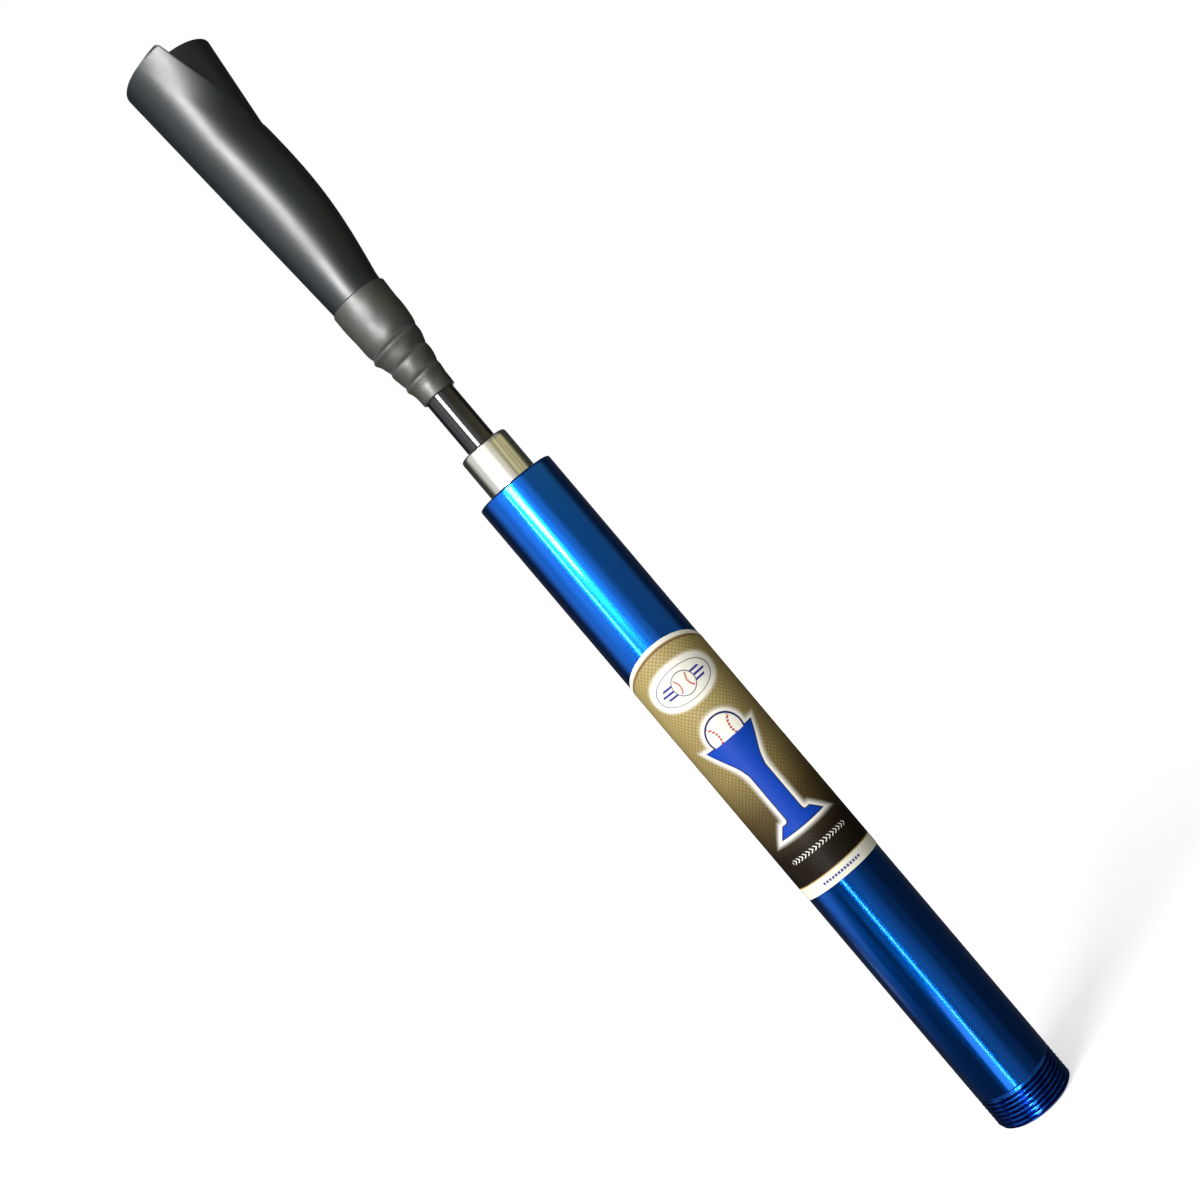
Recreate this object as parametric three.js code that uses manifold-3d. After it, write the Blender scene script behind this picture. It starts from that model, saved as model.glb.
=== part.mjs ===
// Height-adjustable batting tee post, collapsed, in millimetres with +Z up the post.
// The origin is the centre of the threaded end's face. The front is -Y and the right is +X.
//
// Three tubes slide in one another: a blue outer tube, a polished middle tube and a black rod.
// Each inner one has a piston with friction rings at its foot and leaves through a plastic bush.
// On the rod's head a stepped rubber core carries a cone rolled from one sheet of rubber,
// and a rubber boot is shrunk over the joint between them.

import * as THREE from "three";
import { mergeVertices } from "three/addons/utils/BufferGeometryUtils.js";
import Module from "manifold-3d";

const wasm = await Module();
wasm.setup();

// ---- Driving dimensions ----

const FINE = 40; // segments around a large round piece
const COARSE = 28; // segments around a small round piece
const SLIP = 0.3; // gap left where one piece ends against another

const OUTER = { radius: 19.05, bore: 16, length: 346.9, rimChamfer: 0.8 };
const THREAD = { pitch: 25.4 / 12, turns: 7, rootRadius: 17.75, leadIn: 0.6 };
const LABEL = {
  standOff: 0.06,
  thickness: 0.15,
  bottomAtSides: 128.6,
  bottomArch: 1.6,
  topAtSides: 245,
  topArch: 11.4,
};
const MOUTH_BUSHING = { radius: 15.85, bore: 12.1, length: 30, recess: 0.5 };
const BOTTOM_PLUG = { radius: 15.85, vent: 3, bottom: 2, length: 10 };
const BOTTOM_BUMPER = { radius: 12, bore: 4, length: 3 };

const MID_TUBE = { radius: 11.9, bore: 10.25, top: 368, lip: 1.5 };
const MID_PISTON = {
  radius: 15.75,
  bottom: 16,
  height: 18,
  spigotRadius: 10,
  spigotLength: 12,
  vent: 2.5,
  grooveHeights: [4.5, 13.5],
  grooveWidth: 3,
  grooveRadius: 13.15,
  ringRadius: 14.55,
  ringSection: 1.25,
  pinRadius: 1.5,
};
const MID_BUSHING = { radius: 10.1, bore: 7.35, length: 24.3, recess: 0.5 };
const MID_BUMPER = { radius: 9.5, bore: 3, length: 2 };

const ROD = { radius: 7.15, bore: 5.5, top: 409 };
const ROD_PISTON = {
  radius: 10.05,
  bottom: 48.6,
  height: 14,
  spigotRadius: 5.3,
  spigotLength: 12,
  vent: 2,
  grooveHeights: [3.5, 10.5],
  grooveWidth: 2.4,
  grooveRadius: 8.05,
  ringRadius: 9.15,
  ringSection: 0.95,
  pinRadius: 1,
};

const CORE = { spigotRadius: 5.3, spigotBottom: 385, socketBottom: 404.5, top: 448 };
const CORE_PIN = { radius: 1.2, height: 399, length: 13.6 };
const BOOT = { bottom: 396.5, top: 451.2 };

// The rubber sheet is thinned over the last degrees of wrap before its free edge.
const SHEET = { thickness: 1, skivedEdge: 0.5, skiveAngle: 30, turnPitch: 1.25, innerEnd: 760 };

// Angles are in degrees. The cone's plain taper is measured on its left side.
const CONE = {
  bottom: 431,
  top: 580.3,
  neckHeight: 454,
  neckRadius: 13,
  taper: 0.0583,
  leftWrap: 104,
  cornerAngle: 14,
  dropPerTurn: 4.3,
};

// Where the roll isn't a true cone: the loose flap puffs out, its edge tucks in, the mouth leans right.
const FLAP = { puff: 3.3, puffTop: 535, puffWrap: -76, tuck: 0.65, tuckFrom: -20, tuckTo: 60 };
const MOUTH = { leanFrom: 535, lean: 0.055 };

const PIN_CLEARANCE = 0.3;

// ---- Finishes ----

function finish(color, roughness, metalness) {
  return new THREE.MeshStandardMaterial({ color, roughness, metalness });
}

const BLUE_ANODISED = finish("#0b4fb4", 0.18, 0.9);
const PRINTED_LABEL = finish("#8a7348", 0.4, 0);
const POLISHED_ALUMINIUM = finish("#d8d8d2", 0.12, 1);
const BLACK_ANODISED = finish("#101012", 0.15, 0.8);
const BOOT_RUBBER = finish("#4a4a45", 0.55, 0);
const CONE_RUBBER = finish("#33363a", 0.5, 0);
const CORE_RUBBER = finish("#26262a", 0.8, 0);
const BUMPER_RUBBER = finish("#1c1c1c", 0.85, 0);
const O_RING_RUBBER = finish("#141414", 0.6, 0);
const ACETAL = finish("#e8e6df", 0.5, 0);
const STEEL = finish("#9a9ca0", 0.3, 1);

// ---- Helpers ----

// Joins the vertices that share a place and drops the triangles that have no area.
function welded(geometry) {
  const bare = geometry.clone();
  bare.deleteAttribute("normal");
  bare.deleteAttribute("uv");
  const merged = mergeVertices(bare, 1e-4);
  const corners = merged.index.array;
  const kept = [];
  for (let i = 0; i < corners.length; i += 3) {
    const [a, b, c] = corners.slice(i, i + 3);
    if (a !== b && b !== c && c !== a) kept.push(a, b, c);
  }
  merged.setIndex(kept);
  merged.computeVertexNormals();
  return merged;
}

// A solid of revolution. The profile's [radius, height] points run outwards along the bottom,
// up the outside and inwards along the top; a ring's profile also comes back down its bore.
function revolve(profile, segments = FINE) {
  const points = profile.map(([radius, height]) => new THREE.Vector2(radius, height));
  if (profile[0][0] > 0) points.push(points[0].clone());
  return welded(new THREE.LatheGeometry(points, segments).rotateX(Math.PI / 2));
}

function ring(radius, bore, length, segments) {
  const profile = [[bore, 0], [radius, 0], [radius, length], [bore, length]];
  return revolve(profile, segments);
}

function toSolid(geometry) {
  const vertProperties = new Float32Array(geometry.attributes.position.array);
  const triVerts = new Uint32Array(geometry.index.array);
  return new wasm.Manifold(new wasm.Mesh({ numProp: 3, vertProperties, triVerts }));
}

function toGeometry(solid) {
  const mesh = solid.getMesh();
  const geometry = new THREE.BufferGeometry();
  geometry.setAttribute("position", new THREE.BufferAttribute(mesh.vertProperties, 3));
  geometry.setIndex(new THREE.BufferAttribute(mesh.triVerts, 1));
  geometry.computeVertexNormals();
  return geometry;
}

// A pin or drill along X, centred on the post's axis.
function crossBar(radius, length, height = 0) {
  const bar = new THREE.CylinderGeometry(radius, radius, length, 16).rotateZ(Math.PI / 2);
  return welded(bar.translate(0, 0, height));
}

// Drills through a piece along X at each [radius, height].
function crossDrilled(geometry, drills) {
  let solid = toSolid(geometry);
  for (const [radius, height] of drills) {
    solid = solid.subtract(toSolid(crossBar(radius, 4 * OUTER.radius, height)));
  }
  return toGeometry(solid);
}

// How far right of the front a point lies, as an angle about the post.
function angleFromFront(x, y) {
  return Math.atan2(x, -y);
}

// Straight-line reading between the [input, output] pairs of a rising list.
function reading(pairs, input) {
  const index = Math.max(1, pairs.findIndex(([key]) => key >= input));
  const [[x0, y0], [x1, y1]] = pairs.slice(index - 1, index + 1);
  return y0 + ((y1 - y0) * (input - x0)) / (x1 - x0);
}

// ---- Outer post ----

// The thread's crests are level with the tube, so its roots are cut into the wall.
function outerTube() {
  const { radius, bore, length, rimChamfer } = OUTER;
  const { pitch, turns, rootRadius, leadIn } = THREAD;
  const profile = [[bore, 0], [rootRadius, 0]];
  for (let turn = 0; turn < turns; turn += 1) {
    const root = leadIn + turn * pitch;
    profile.push([rootRadius, root], [radius, root + pitch / 2]);
  }
  const threadTop = leadIn + turns * pitch;
  profile.push([rootRadius, threadTop], [radius, threadTop + pitch / 2]);
  profile.push([radius, length - rimChamfer], [radius - rimChamfer, length], [bore, length]);
  return revolve(profile);
}

// The label's edges rise towards the front, the top one far more than the bottom one.
function label() {
  const inner = OUTER.radius + LABEL.standOff;
  const geometry = ring(inner + LABEL.thickness, inner, 1, FINE);
  const position = geometry.attributes.position;
  for (let i = 0; i < position.count; i += 1) {
    const rise = Math.cos(angleFromFront(position.getX(i), position.getY(i)));
    const bottom = LABEL.bottomAtSides + LABEL.bottomArch * rise;
    const top = LABEL.topAtSides + LABEL.topArch * rise;
    position.setZ(i, position.getZ(i) > 0.5 ? top : bottom);
  }
  geometry.computeVertexNormals();
  return geometry;
}

// A plain bush with a chamfered lip at the top of its bore.
function guideBush({ radius, bore, length }, segments) {
  const lip = 0.6;
  const profile = [
    [bore, 0],
    [radius, 0],
    [radius, length],
    [bore + lip, length],
    [bore, length - lip],
  ];
  return revolve(profile, segments);
}

// ---- Sliding stages ----

// A stage's foot: a grooved piston with a spigot that its tube is pinned to, vented up the middle.
function piston(size, segments) {
  const top = size.height + size.spigotLength;
  const profile = [[size.vent, 0], [size.radius, 0]];
  for (const height of size.grooveHeights) {
    const low = height - size.grooveWidth / 2;
    const high = height + size.grooveWidth / 2;
    profile.push([size.radius, low], [size.grooveRadius, low]);
    profile.push([size.grooveRadius, high], [size.radius, high]);
  }
  profile.push([size.radius, size.height], [size.spigotRadius, size.height]);
  profile.push([size.spigotRadius, top], [size.vent, top]);
  const pinHole = [size.pinRadius + PIN_CLEARANCE, size.height + size.spigotLength / 2];
  return crossDrilled(revolve(profile, segments), [pinHole]);
}

function frictionRing({ ringRadius, ringSection }) {
  const sides = 6;
  const profile = [];
  for (let side = 0; side < sides; side += 1) {
    const angle = (side / sides) * 2 * Math.PI;
    const out = ringRadius + ringSection * Math.cos(angle);
    profile.push([out, ringSection * Math.sin(angle)]);
  }
  return revolve(profile, COARSE);
}

// The middle tube, from its piston to a softly rounded lip.
function midTube(bottom) {
  const { radius, bore, top, lip } = MID_TUBE;
  const length = top - bottom;
  const softened = lip * (1 - Math.SQRT1_2);
  const profile = [
    [bore, 0],
    [radius, 0],
    [radius, length - lip],
    [radius - softened, length - softened],
    [radius - lip, length],
    [bore, length],
  ];
  const pinHole = [MID_PISTON.pinRadius + PIN_CLEARANCE, MID_PISTON.spigotLength / 2 - SLIP];
  return crossDrilled(revolve(profile), [pinHole]);
}

function rod(bottom) {
  const tube = ring(ROD.radius, ROD.bore, ROD.top - bottom, COARSE);
  const footHole = [ROD_PISTON.pinRadius + PIN_CLEARANCE, ROD_PISTON.spigotLength / 2 - SLIP];
  const headHole = [CORE_PIN.radius + PIN_CLEARANCE, CORE_PIN.height - bottom];
  return crossDrilled(tube, [footHole, headHole]);
}

// ---- Ball rest ----

// Rubber core in three steps: a spigot in the rod, sleeves around its head, a stub in the cone.
function flexCore() {
  const rodEnd = ROD.top + SLIP;
  const profile = [
    [0, CORE.spigotBottom],
    [CORE.spigotRadius, CORE.spigotBottom],
    [CORE.spigotRadius, rodEnd],
    [ROD.radius + 0.2, rodEnd],
    [ROD.radius + 0.2, CORE.socketBottom],
    [8, CORE.socketBottom],
    [8.2, 411],
    [9, 411.5],
    [9, 419],
    [10.4, 421],
    [10.8, 428.3],
    [8.1, 428.3],
    [8.1, CORE.top],
    [0, CORE.top],
  ];
  const pinHole = [CORE_PIN.radius + PIN_CLEARANCE, CORE_PIN.height];
  return crossDrilled(revolve(profile, COARSE), [pinHole]);
}

// The boot follows the core's steps outside and in, and ends in a socket around the cone.
function boot() {
  const outside = [
    [7.9, BOOT.bottom],
    [8.4, 397.3],
    [8.6, 403],
    [9.5, 406.8],
    [9.25, 408.4],
    [10, 412],
    [10.5, 415.5],
    [10.3, 417.4],
    [11.6, 421.5],
    [12.7, 424.3],
    [12.3, 426.2],
    [13.3, 431.5],
    [13.7, 449.8],
    [13.6, BOOT.top],
  ];
  const inside = [
    [13.3, BOOT.top],
    [12.15, 431],
    [12.15, 429.2],
    [11.1, 428.6],
    [10.7, 421],
    [9.25, 418.6],
    [9.25, 411.2],
    [8.4, 410.7],
    [8.3, 404],
    [7.35, 403.3],
    [7.35, BOOT.bottom],
  ];
  return revolve([...outside, ...inside], COARSE);
}

// Radius of the sheet's outer face. The wrap angle runs leftwards and inwards from the free edge's
// top corner, so the free edge, which slants back to the right, has negative angles.
function rollRadius(wrap, height) {
  const { clamp, degToRad, smoothstep } = THREE.MathUtils;
  const { neckHeight, neckRadius, taper, leftWrap, cornerAngle } = CONE;
  const plain = neckRadius + taper * (height - neckHeight);
  const spiral = (-SHEET.turnPitch * (wrap - leftWrap)) / 360;
  const rightness = (1 + Math.sin(degToRad(cornerAngle - wrap))) / 2;
  const lean = MOUTH.lean * Math.max(0, height - MOUTH.leanFrom) * rightness;
  const tuck = FLAP.tuck * smoothstep(-wrap, FLAP.tuckFrom, FLAP.tuckTo);
  const along = clamp((height - neckHeight) / (FLAP.puffTop - neckHeight), 0, 1);
  const around = clamp((wrap - FLAP.puffWrap) / 180, -1, 1);
  const crown = Math.sin(Math.PI * along) * (1 + Math.cos(Math.PI * around));
  return plain + spiral + lean - tuck + (FLAP.puff / 2) * crown;
}

// Angle right of the front, in degrees, where the free edge lies, by its depth below the top.
const FREE_EDGE = [[0, 10], [14, 23], [31, 40], [40, 55], [52, 94], [150, 137]];

// One sheet rolled a little over two turns, its top edge dropping inwards along the spiral.
function coneRoll() {
  const sheet = new THREE.BoxGeometry(1, 1, 1, 64, 1, 12);
  const position = sheet.attributes.position;
  for (let i = 0; i < position.count; i += 1) {
    const inwards = position.getX(i) + 0.5;
    const outerFace = position.getY(i) > 0;
    const up = position.getZ(i) + 0.5;
    const height = THREE.MathUtils.lerp(CONE.bottom, CONE.top, up);
    const edge = CONE.cornerAngle - reading(FREE_EDGE, CONE.top - height);
    const wrap = THREE.MathUtils.lerp(edge, SHEET.innerEnd, inwards);
    const skive = Math.min(1, (wrap - edge) / SHEET.skiveAngle);
    const thickness = THREE.MathUtils.lerp(SHEET.skivedEdge, SHEET.thickness, skive);
    const radius = rollRadius(wrap, height) - (outerFace ? 0 : thickness);
    const angle = THREE.MathUtils.degToRad(CONE.cornerAngle - wrap);
    const drop = (CONE.dropPerTurn * Math.max(0, wrap) * up) / 360;
    position.setXYZ(i, radius * Math.sin(angle), -radius * Math.cos(angle), height - drop);
  }
  return welded(sheet);
}

// ---- Assembly ----

function piece(name, geometry, material, height = 0) {
  const mesh = new THREE.Mesh(geometry, material);
  mesh.name = name;
  mesh.position.z = height;
  return mesh;
}

function outerPost() {
  const bushingBottom = OUTER.length - MOUTH_BUSHING.recess - MOUTH_BUSHING.length;
  const plug = ring(BOTTOM_PLUG.radius, BOTTOM_PLUG.vent, BOTTOM_PLUG.length);
  const bumper = ring(BOTTOM_BUMPER.radius, BOTTOM_BUMPER.bore, BOTTOM_BUMPER.length, COARSE);
  const bumperBottom = BOTTOM_PLUG.bottom + BOTTOM_PLUG.length + SLIP;
  const group = new THREE.Group();
  group.add(
    piece("outer_tube", outerTube(), BLUE_ANODISED),
    piece("label", label(), PRINTED_LABEL),
    piece("mouth_bushing", guideBush(MOUTH_BUSHING), ACETAL, bushingBottom),
    piece("bottom_plug", plug, ACETAL, BOTTOM_PLUG.bottom),
    piece("bottom_bumper", bumper, BUMPER_RUBBER, bumperBottom),
  );
  return group;
}

// What the middle tube and the rod have in common: a piston, its pin and its two friction rings.
function stageFoot(name, size, tubeRadius, segments) {
  const pin = crossBar(size.pinRadius, 2 * (tubeRadius - 0.5));
  const group = new THREE.Group();
  group.position.z = size.bottom;
  group.add(
    piece(`${name}_slider`, piston(size, segments), ACETAL),
    piece(`${name}_slider_pin`, pin, STEEL, size.height + size.spigotLength / 2),
    piece(`${name}_o_ring_lower`, frictionRing(size), O_RING_RUBBER, size.grooveHeights[0]),
    piece(`${name}_o_ring_upper`, frictionRing(size), O_RING_RUBBER, size.grooveHeights[1]),
  );
  return group;
}

function middleStage() {
  const tubeBottom = MID_PISTON.bottom + MID_PISTON.height + SLIP;
  const bushingBottom = MID_TUBE.top - MID_BUSHING.recess - MID_BUSHING.length;
  const bumper = ring(MID_BUMPER.radius, MID_BUMPER.bore, MID_BUMPER.length, COARSE);
  const bumperBottom = tubeBottom + MID_PISTON.spigotLength;
  const group = new THREE.Group();
  group.add(
    piece("mid_tube", midTube(tubeBottom), POLISHED_ALUMINIUM, tubeBottom),
    piece("mid_bushing", guideBush(MID_BUSHING, COARSE), ACETAL, bushingBottom),
    piece("mid_bumper", bumper, BUMPER_RUBBER, bumperBottom),
    stageFoot("mid", MID_PISTON, MID_TUBE.radius, FINE),
  );
  return group;
}

function rodStage() {
  const rodBottom = ROD_PISTON.bottom + ROD_PISTON.height + SLIP;
  const group = new THREE.Group();
  group.add(
    piece("rod", rod(rodBottom), BLACK_ANODISED, rodBottom),
    stageFoot("rod", ROD_PISTON, ROD.radius, COARSE),
  );
  return group;
}

function ballRest() {
  const pin = crossBar(CORE_PIN.radius, CORE_PIN.length);
  const group = new THREE.Group();
  group.add(
    piece("core_pin", pin, STEEL, CORE_PIN.height),
    piece("flex_core", flexCore(), CORE_RUBBER),
    piece("boot", boot(), BOOT_RUBBER),
    piece("cone_roll", coneRoll(), CONE_RUBBER),
  );
  return group;
}

const tee = new THREE.Group();
tee.add(outerPost(), middleStage(), rodStage(), ballRest());

export default tee;
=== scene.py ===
"""Height-adjustable batting tee post, collapsed, modelled piece by piece and set in a plain studio.

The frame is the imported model's: metres, +Z up the post, front -Y, right +X, and the origin at the centre
of the threaded end. Sizes below are in millimetres unless they say otherwise.
"""

import logging
import math
from contextlib import contextmanager
from dataclasses import dataclass, field
from enum import Enum
from functools import partial
from typing import Any, Callable, ClassVar, Iterator, Sequence

import bpy
from mathutils import Matrix, Vector


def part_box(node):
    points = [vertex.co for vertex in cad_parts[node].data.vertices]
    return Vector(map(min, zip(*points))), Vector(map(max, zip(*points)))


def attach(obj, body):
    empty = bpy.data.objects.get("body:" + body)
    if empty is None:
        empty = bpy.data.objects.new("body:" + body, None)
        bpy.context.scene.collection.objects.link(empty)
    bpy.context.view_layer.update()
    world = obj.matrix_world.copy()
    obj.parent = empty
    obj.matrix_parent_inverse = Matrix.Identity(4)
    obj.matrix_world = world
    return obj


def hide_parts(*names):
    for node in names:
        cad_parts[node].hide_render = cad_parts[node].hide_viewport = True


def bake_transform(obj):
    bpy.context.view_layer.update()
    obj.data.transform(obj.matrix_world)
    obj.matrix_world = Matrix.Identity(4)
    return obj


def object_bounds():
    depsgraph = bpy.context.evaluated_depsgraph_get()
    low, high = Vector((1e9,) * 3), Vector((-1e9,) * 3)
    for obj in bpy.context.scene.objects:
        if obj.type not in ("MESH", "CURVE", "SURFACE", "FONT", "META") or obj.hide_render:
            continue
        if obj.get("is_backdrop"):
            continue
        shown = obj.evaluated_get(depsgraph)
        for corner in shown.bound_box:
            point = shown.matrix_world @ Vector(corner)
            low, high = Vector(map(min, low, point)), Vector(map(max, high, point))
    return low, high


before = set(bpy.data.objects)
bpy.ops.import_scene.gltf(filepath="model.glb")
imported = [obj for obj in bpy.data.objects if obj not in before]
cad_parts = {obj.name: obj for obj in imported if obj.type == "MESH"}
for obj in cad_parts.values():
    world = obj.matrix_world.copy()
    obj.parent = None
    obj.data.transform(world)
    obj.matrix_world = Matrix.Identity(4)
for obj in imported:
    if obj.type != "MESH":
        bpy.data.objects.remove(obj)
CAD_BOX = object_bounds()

LOG = logging.getLogger("batting_tee")
MM = 0.001
TUBE_STEPS = 160  # round a tube
SMALL_STEPS = 96  # round a small turned piece
HOLD = 1.15  # a rounded corner's holding points, as a share of its rounding
BLANKS = (None,) * 5  # the inputs of a Mix node between its factor and its two colours

Feed = Any  # a node, one of its sockets, or a plain value
Material = bpy.types.Material
Piece = bpy.types.Object
Point = tuple[float, ...]
Socket = bpy.types.NodeSocket
Tree = bpy.types.NodeTree


class Body(Enum):
    """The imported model's moving bodies."""

    POST = "post"
    MID_SEALS = "mid_seals"
    MIDDLE = "middle"
    ROD_SEALS = "rod_seals"
    INNER = "inner"
    REST = "rest"


class Slot(Enum):
    """The record's material slots."""

    BLUE_TUBE = "blue_anodised_aluminium"
    LABEL = "printed_vinyl"
    BRIGHT_TUBE = "polished_aluminium"
    BLACK_ROD = "gloss_black_anodised"
    BOOT = "boot_rubber"
    CONE = "cone_rubber"
    CORE = "core_rubber"
    BUMPER = "black_bumper_rubber"
    O_RING = "o_ring_rubber"
    ACETAL = "white_acetal"
    STEEL = "pin_steel"


# ---- Colour and nodes ----


def linear(colour: str) -> tuple[float, float, float, float]:
    """Turns an sRGB hex colour to linear light.

    Args:
        colour: six hex digits with a leading #.

    Returns:
        Red, green, blue and an alpha of 1.
    """
    parts = [int(colour[i : i + 2], 16) / 255 for i in (1, 3, 5)]
    lit = [c / 12.92 if c <= 0.04045 else ((c + 0.055) / 1.055) ** 2.4 for c in parts]
    return (*lit, 1.0)


def add_node(
    tree: Tree, kind: str, *feeds: Feed, named: dict[str, Feed] | None = None, **settings: Any
) -> bpy.types.Node:
    """Adds a node with its settings and links.

    Args:
        tree: the node tree that gets it.
        kind: the node's type without "ShaderNode".
        feeds: what goes into its inputs in order: a socket, a node's first output, a value, or None to skip.
        named: more of them by the input's name.
        settings: the node's own settings.

    Returns:
        The new node.
    """
    node = tree.nodes.new("ShaderNode" + kind)
    for key, value in settings.items():
        setattr(node, key, value)
    pairs = [(node.inputs[i], feed) for i, feed in enumerate(feeds) if feed is not None]
    pairs += [(node.inputs[key], feed) for key, feed in (named or {}).items()]
    for socket, feed in pairs:
        if isinstance(feed, bpy.types.Node):
            feed = feed.outputs[0]
        if isinstance(feed, Socket):
            tree.links.new(feed, socket)
        else:
            socket.default_value = feed
    return node


def set_stops(ramp: bpy.types.Node, stops: Sequence[tuple[float, Sequence[float]]]) -> None:
    """Sets a colour ramp's stops.

    Args:
        ramp: the Color Ramp node.
        stops: positions from 0 to 1, each with its linear colour.
    """
    elements = ramp.color_ramp.elements
    while len(elements) < len(stops):
        elements.new(1.0)
    for element, (position, colour) in zip(elements, stops):
        element.position = position
        element.color = colour


def clamp(value: float) -> float:
    """Holds a value between 0 and 1."""
    return min(1.0, max(0.0, value))


def stepped(value: float, low: float, high: float) -> float:
    """Returns a smooth step from 0 at low to 1 at high."""
    share = clamp((value - low) / (high - low))
    return share * share * (3 - 2 * share)


# ---- Finishes ----


def mottling(tree: Tree, size_mm: Point, detail: float) -> bpy.types.Node:
    """Lays out an irregular pattern whose features measure size_mm along each axis.

    Args:
        tree: the material's node tree.
        size_mm: the features' size along x, y and z.
        detail: the number of finer layers.

    Returns:
        The pattern's node.
    """
    place = add_node(tree, "TexCoord").outputs["Object"]
    scale = tuple(1 / (MM * size) for size in size_mm)
    mapping = add_node(tree, "Mapping", place, named={"Scale": scale})
    return add_node(tree, "TexNoise", named={"Vector": mapping, "Scale": 1.0, "Detail": detail})


@dataclass(frozen=True)
class Finish:
    """A surface finish with broad mottling and a fine grain, both set out in millimetres.

    Mottling turns colour into second_colour and shifts the roughness; grain is the relief. Between two
    radii, painted shade darkens the colour of a thread's roots and all inside them. The attribute named
    by creased_by paints shade into creases the same way, and roughens them too.
    """

    name: str
    colour: str
    second_colour: str
    mottle_mm: Point
    grain_mm: Point
    roughness: tuple[float, float]
    grain_depth_mm: float
    metallic: float = 0.0
    # Painted shade: between these radii the colour darkens towards the axis, down to the root share.
    painted_root_shade_mm: tuple[float, float] | None = None
    painted_root_light: float = 0.12
    creased_by: str = ""
    # Painted shade: the share of colour kept deepest in a crease.
    painted_crease_light: float = 0.2
    crease_roughness: float = 0.5
    constants: dict[str, Any] = field(default_factory=dict)

    made: ClassVar[dict[str, Material]] = {}
    colour_turns: ClassVar[dict[str, float]] = {"From Min": 0.35, "From Max": 0.65}
    roughness_turns: ClassVar[dict[str, float]] = {"From Min": 0.3, "From Max": 0.7}

    def base_colour(self, tree: Tree, mottle: Feed) -> Socket:
        """Mixes the two colours by the mottling and darkens them with painted shade in roots and creases.

        Args:
            tree: the material's node tree.
            mottle: the broad pattern.

        Returns:
            The colour's socket.
        """
        share = add_node(tree, "MapRange", named={"Value": mottle, **self.colour_turns})
        inks = linear(self.colour), linear(self.second_colour)
        mix = add_node(tree, "Mix", share, *BLANKS, *inks, data_type="RGBA")
        kept = self.painted_shade_share(tree)
        if kept is None:
            return mix.outputs[2]
        lit = add_node(tree, "VectorMath", mix.outputs[2], named={"Scale": kept}, operation="SCALE")
        return lit.outputs[0]

    def painted_shade_share(self, tree: Tree) -> Feed | None:
        """Says how much of its colour the surface keeps under the painted shade in a thread's roots or a
        sleeve's creases.

        Args:
            tree: the material's node tree.

        Returns:
            The share, or None for a finish with neither.
        """
        if self.creased_by:
            crease = add_node(tree, "Attribute", attribute_name=self.creased_by).outputs["Fac"]
            shares = {"Value": crease, "To Min": 1.0, "To Max": self.painted_crease_light}
            return add_node(tree, "MapRange", named=shares)
        if self.painted_root_shade_mm is None:
            return None
        deep, full = (MM * radius for radius in self.painted_root_shade_mm)
        place = add_node(tree, "TexCoord").outputs["Object"]
        flat = add_node(tree, "VectorMath", place, (1.0, 1.0, 0.0), operation="MULTIPLY")
        around = add_node(tree, "VectorMath", flat, operation="LENGTH").outputs["Value"]
        return add_node(tree, "MapRange", around, deep, full, self.painted_root_light, 1.0)

    def material(self) -> Material:
        """Builds the material, or finds it where it was built before.

        Returns:
            The finish's material.
        """
        if self.name in self.made:
            return self.made[self.name]
        material = bpy.data.materials.new(self.name)
        material.use_nodes = True
        tree = material.node_tree
        shader = tree.nodes["Principled BSDF"]
        mottle = mottling(tree, self.mottle_mm, 3.0)
        low, high = self.roughness
        spread = {"Value": mottle, **self.roughness_turns, "To Min": low, "To Max": high}
        rough = add_node(tree, "MapRange", named=spread)
        if self.creased_by:
            crease = add_node(tree, "Attribute", attribute_name=self.creased_by).outputs["Fac"]
            rough = add_node(tree, "Math", crease, self.crease_roughness, rough, operation="MULTIPLY_ADD")
        grain = mottling(tree, self.grain_mm, 2.0)
        depth = {"Height": grain, "Distance": self.grain_depth_mm * MM, "Strength": 1.0}
        relief = add_node(tree, "Bump", named=depth)
        tree.links.new(self.base_colour(tree, mottle), shader.inputs["Base Color"])
        tree.links.new(rough.outputs[0], shader.inputs["Roughness"])
        tree.links.new(relief.outputs[0], shader.inputs["Normal"])
        for key, value in {"Metallic": self.metallic, **self.constants}.items():
            shader.inputs[key].default_value = value
        self.made[self.name] = material
        return material

    def dress(self, piece: Piece) -> None:
        """Gives the piece this finish alone."""
        piece.data.materials.clear()
        piece.data.materials.append(self.material())


# Drawn tube, polished, dyed blue in the bath and sealed: metal lustre under a glassy clear skin,
# with faint draw lines along the tube.
BLUE_ANODISED_DRAWN_TUBE = Finish(
    name="blue_anodised_drawn_aluminium",
    colour="#045abe",
    second_colour="#0462c8",
    mottle_mm=(1.6, 1.6, 60.0),
    grain_mm=(1.2, 1.2, 160.0),
    roughness=(0.16, 0.22),
    grain_depth_mm=0.0005,
    metallic=1.0,
    # Painted shade: the colour darkens from the outer radius inwards, in the thread's roots, end faces and
    # bore.
    painted_root_shade_mm=(17.6, 19.0),
    constants={"Coat Weight": 0.26, "Coat Roughness": 0.04, "Coat IOR": 1.5},
)

# Drawn tube, buffed bright and left bare: near white metal with long streaks from the buff.
POLISHED_DRAWN_TUBE = Finish(
    name="polished_drawn_aluminium",
    colour="#e4e2dc",
    second_colour="#bfbba9",
    mottle_mm=(1.1, 1.1, 45.0),
    grain_mm=(0.7, 0.7, 120.0),
    roughness=(0.07, 0.22),
    grain_depth_mm=0.002,
    metallic=1.0,
)

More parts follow.
